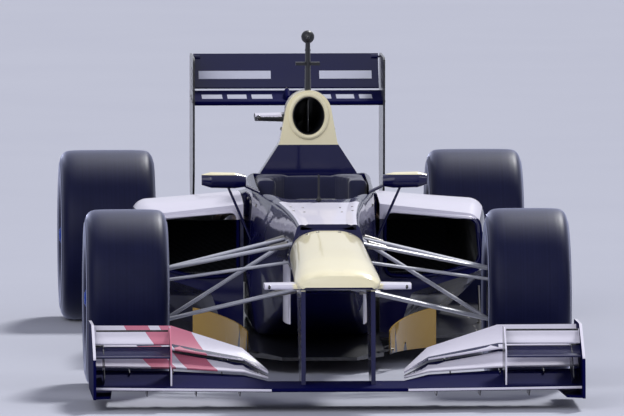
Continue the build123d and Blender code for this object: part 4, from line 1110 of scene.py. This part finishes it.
# Guide vanes: ochre boards beside the tray, navy blades at the pods' shoulders and pale vanes under
# the nose, all of thin carbon.

ochre_paint = gloss_paint("ochre_gloss_paint", "#B5923C", "#A07C2E")


def vane_finish(centre, normal):
    """Navy shoulder blades, white vanes under the nose, ochre boards and carbon stays."""
    if abs(centre.x) > 0.6:
        return 1
    if centre.y < -1.1:
        return 2
    return 0 if abs(centre.x) > 0.262 and centre.z > 0.1 else 3


vanes = copy_of("guide_vanes")
paint(vanes, vane_finish)
skin("carbon_vanes", vanes, "ochre_paint", "guide_vanes", ochre_paint, navy_paint, white_paint, dark_carbon)

shoulder_bridges = bmesh.new()
slabs(shoulder_bridges, (0.652, 0.6985), (-0.125, 0.010), (0.4705, 0.4765), 0.0025)
piece("shoulder_bridges", shoulder_bridges, "navy_paint", navy_paint)

# Floor: a flat carbon sandwich panel under the whole car, with a splitter in front.
# Steel stays hold its outer edges, and a laminated wooden plank is bolted under the middle.

coat(dark_carbon, "carbon", "floor")

plank_laminate, tree, shader, place = surface("laminated_beech_plank", {"Roughness": 0.8})
stretched = add(tree, "Mapping", inputs={"Vector": place, "Scale": (1.0, 0.06, 1.0)}).outputs["Vector"]
grain = noise(tree, stretched, 8, 6.0)
dress(tree, shader, (grain, "#7A5F3F", "#4B3924"), bump=(grain, 0.2, 0.0004))
coat(plank_laminate, "plank_wood", "plank")

skids = bmesh.new()
for x, y in ((0.0, -0.55), (0.0, 0.10), (-0.09, 1.35), (0.09, 1.35)):
    turned(skids, (x, y, 0.0395), (0, 0, -1), [(0.0, 0.0), (0.0, 0.028), (-0.003, 0.028), (-0.003, 0.0)], 32,
           False)
piece("plank_skids", skids, "alloy", titanium)

floor_stays = bmesh.new()
for side in (-1, 1):
    bar(floor_stays, (side * 0.660, 0.36, 0.099), (side * 0.655, 0.36, 0.243), 0.004)
    bar(floor_stays, (side * 0.455, 1.62, 0.099), (side * 0.262, 1.62, 0.215), 0.004)
    turned(floor_stays, (side * 0.660, 0.36, 0.100), (0, 0, 1),
           [(0.0, 0.0), (0.0, 0.012), (0.004, 0.012), (0.004, 0.0)], 20, False)
piece("floor_stays", floor_stays, "alloy", titanium)

floor_bolts = bmesh.new()
bolt_places = [(0.63, y, 0.1) for y in (0.0, 0.2, 0.6, 0.9, 1.2)] + [(0.455, y, 0.1) for y in (1.52, 1.66)]
both_studs(floor_bolts, bolt_places, (0, 0, 1), 0.006, 0.003)
piece("floor_bolts", floor_bolts, "alloy", titanium)

# Diffuser: the floor's rising tail, with upright fences.
# It is of bare carbon, like the floor that it carries on.

coat(dark_carbon, "carbon", "diffuser")

# Engine: a plain block of cast aluminium at its real place, under the cover.
# Ribs and two rows of inlet trumpets stand on it where the airbox feeds it.

cast_aluminium = bare_metal("cast_aluminium", "#6F7176", 0.5, 2.5, 0.9)
coat(cast_aluminium, "alloy", "engine")
trumpet_profile = [
    (0.0, 0.026), (0.050, 0.027), (0.066, 0.034), (0.068, 0.033), (0.052, 0.024), (0.0, 0.023)]
trumpets = bmesh.new()
for side in (-1, 1):
    for k in range(4):
        turned(trumpets, (side * 0.085, 0.83 + 0.105 * k, 0.440), (side * 0.25, 0, 1), trumpet_profile, 24)
for k in range(9):
    slabs(trumpets, (0.2265, 0.2335), (0.79 + 0.055 * k, 0.795 + 0.055 * k), (0.335, 0.412), 0.001)
piece("inlet_trumpets", trumpets, "alloy", cast_aluminium)

# Gearbox: a tapered carbon and titanium case that carries the rear suspension.
# Rows of bolts mark its two joints.

coat(dark_carbon, "carbon", "gearbox")
case_bolts = bmesh.new()
for y, half, low, high in ((1.30, 0.149, 0.19, 0.40), (1.84, 0.0965, 0.225, 0.35)):
    column = [(half, y, low + (high - low) * k / 4) for k in range(5)]
    both_studs(case_bolts, column, (1, 0, 0), 0.006, 0.004)
piece("gearbox_bolts", case_bolts, "alloy", titanium)

# Exhausts: welded nickel alloy tail pipes, blued and browned by heat towards the mouth.
# Two weld beads ring each pipe.

heated_alloy, tree, shader, place = surface("heat_tinted_nickel_alloy", {"Metallic": 1.0})
cloud = noise(tree, place, 40, 3.0)
back_along = add(tree, "SeparateXYZ", inputs={"Vector": place}).outputs["Y"]
along_pipe = spread(tree, back_along, 0.0, 1.0, 1.13, 1.43)
heat = add(tree, "ValToRGB", inputs={"Fac": calc(tree, "MULTIPLY_ADD", cloud, 0.25, along_pipe)})
for position, code in ((0.0, "#8C857A"), (0.45, "#8A6A4B"), (0.75, "#5C5470"), (1.0, "#3D4B63")):
    stop = heat.color_ramp.elements[0] if position == 0.0 else heat.color_ramp.elements.new(position)
    stop.position, stop.color = position, linear(code)
tree.links.new(heat.outputs["Color"], shader.inputs["Base Color"])
dress(tree, shader, rough=spread(tree, cloud, 0.25, 0.5))
coat(heated_alloy, "alloy", "exhausts")

weld_beads = bmesh.new()
for side in (-1, 1):
    way = Vector((side * 0.055, 0.300, 0.027)).normalized()
    start = Vector((side * 0.255, 1.13, 0.425))
    for run in (0.045, 0.190):
        turned(weld_beads, start + way * run, way, [(-0.0025, 0.0375), (0.0, 0.0396), (0.0025, 0.0375)], 40)
piece("exhaust_welds", weld_beads, "alloy", heated_alloy)

# Rear suspension: black carbon arms on titanium joints, the driveshafts between them.
# A folded rubber boot covers the inner joint of each shaft.

coat(dark_carbon, "carbon", "rear_suspension")
shaft_steel = bare_metal("ground_shaft_steel", "#6C6A6A", 0.3, 4)
arm_ends("rear_arm_ends", 0.62, 1.85, [
    (0.425, (0.060, 1.73, 0.368)), (0.425, (0.050, 2.01, 0.348)),
    (0.235, (0.060, 1.725, 0.225)), (0.235, (0.050, 2.015, 0.250))], (0.11, 0.24), (0.022, 0.030))

rubber_boot = slick_rubber("moulded_joint_boot", 1.85)
folds = []
for k in range(7):
    folds += [(0.006 * k, 0.040 - 0.0028 * k), (0.006 * k + 0.003, 0.036 - 0.0028 * k)]
folds += [(0.042, 0.0185), (0.0, 0.0185)]
for side in sides:
    coat(shaft_steel, "alloy", f"driveshaft_{sides[side]}")
    boot = bmesh.new()
    turned(boot, (side * 0.158, 1.85, 0.33), (side, 0, 0), folds, 36)
    piece(f"driveshaft_boot_{sides[side]}", boot, "tyre", rubber_boot, body=wheel_body("rear", side),
          crease=50)

# Rear crash structure and rain light: a tapered carbon box with a red lamp at its end.
# The lamp is a grid of small domes on a red lens in a black frame; a ring lines the starter bore.

coat(dark_carbon, "carbon", "rear_crash_structure")
lamp_lens, tree, shader, place = surface("red_acrylic_lens", {
    "Roughness": 0.12, "Coat Weight": 1.0, "Coat Roughness": 0.03})
cells = add(tree, "TexVoronoi", inputs={"Vector": place, "Scale": per_metre(8), "Randomness": 0.0})
dress(tree, shader, (cells.outputs["Distance"], "#A31420", "#4A060C"))
coat(lamp_lens, "lamp_red", "rain_light")

lamp_domes = bmesh.new()
for row in range(4):
    for column in range(6):
        ball(lamp_domes, (-0.030 + 0.012 * column, 2.4475, 0.302 + 0.012 * row), 0.0042, 10, 6, 0.55)
piece("rain_light_domes", lamp_domes, "lamp_red", lamp_lens, crease=60)

lamp_frame = bmesh.new()
frame_y = (2.402, 2.449)
for z in (0.2925, 0.3475):
    slab(lamp_frame, (-0.043, 0.043), frame_y, (z - 0.0015, z + 0.0015), 0.0006)
slabs(lamp_frame, (0.040, 0.043), frame_y, (0.293, 0.347), 0.0006)
piece("rain_light_frame", lamp_frame, "carbon", black_moulding)

starter_ring = bmesh.new()
turned(starter_ring, (0, 2.3995, 0.276), (0, 1, 0),
       [(0.0, 0.0113), (0.0, 0.0165), (0.003, 0.0160), (0.004, 0.0125), (0.004, 0.0113)], 32)
piece("starter_ring", starter_ring, "alloy", titanium)

# Rear wing: a navy main plane and a flap between black endplates, and a beam wing low down.
# The flap turns on pins near its tail; white bands cross the front of both blades.

band_white = gloss_paint("white_stripe_paint", "#E4E6F4", "#D9DBEC")


def striped_blade(name, node, finish, bands, z_span, front_y, steep, body="chassis"):
    """A wing blade with level bands on what faces forward behind a line, each cut into the face."""
    shell = copy_of(node)
    for x_span in bands:
        for x in x_span:
            cut(shell, (x, 0, 0), (1, 0, 0), near=0.00005)
        for z in z_span:
            cut(shell, (0, 0, z), (0, 0, 1), near=0.00005)
    shell.normal_update()

    def in_band(centre, normal):
        inside = any(a < centre.x < b for a, b in bands) and z_span[0] < centre.z < z_span[1]
        return inside and normal.y < steep and centre.y > front_y

    paint(shell, in_band)
    skin(name, shell, "navy_paint", node, finish, band_white, body=body)


striped_blade("rear_flap_blade", "rear_wing_flap", navy_paint, [(-0.342, -0.06), (0.13, 0.335)],
              (0.912, 0.942), 2.0, -0.15, "rear_flap")
striped_blade("rear_main_blade", "rear_wing_main_plane", satin_navy, [
    (-0.335, -0.255), (-0.235, -0.16), (-0.14, -0.06), (0.10, 0.17), (0.19, 0.26), (0.28, 0.33)],
              (0.833, 0.856), 2.05, -0.02)
coat(dark_carbon, "carbon", "beam_wing", "rear_wing_endplates")

plate_bolts = bmesh.new()
both_studs(plate_bolts, [(0.375, y, z) for y, z in (
    (1.99, 0.838), (2.06, 0.845), (2.13, 0.852), (2.10, 0.425), (2.16, 0.432), (2.22, 0.440))],
           (1, 0, 0), 0.006, 0.003)
piece("endplate_bolts", plate_bolts, "alloy", titanium)

actuator_link = bmesh.new()
bar(actuator_link, (0, 2.135, 0.866), (0, 2.165, 0.872), 0.0055)
bar(actuator_link, (0, 2.165, 0.872), (0, 2.188, 0.879), 0.0035)
piece("flap_actuator_rod", actuator_link, "alloy", titanium)
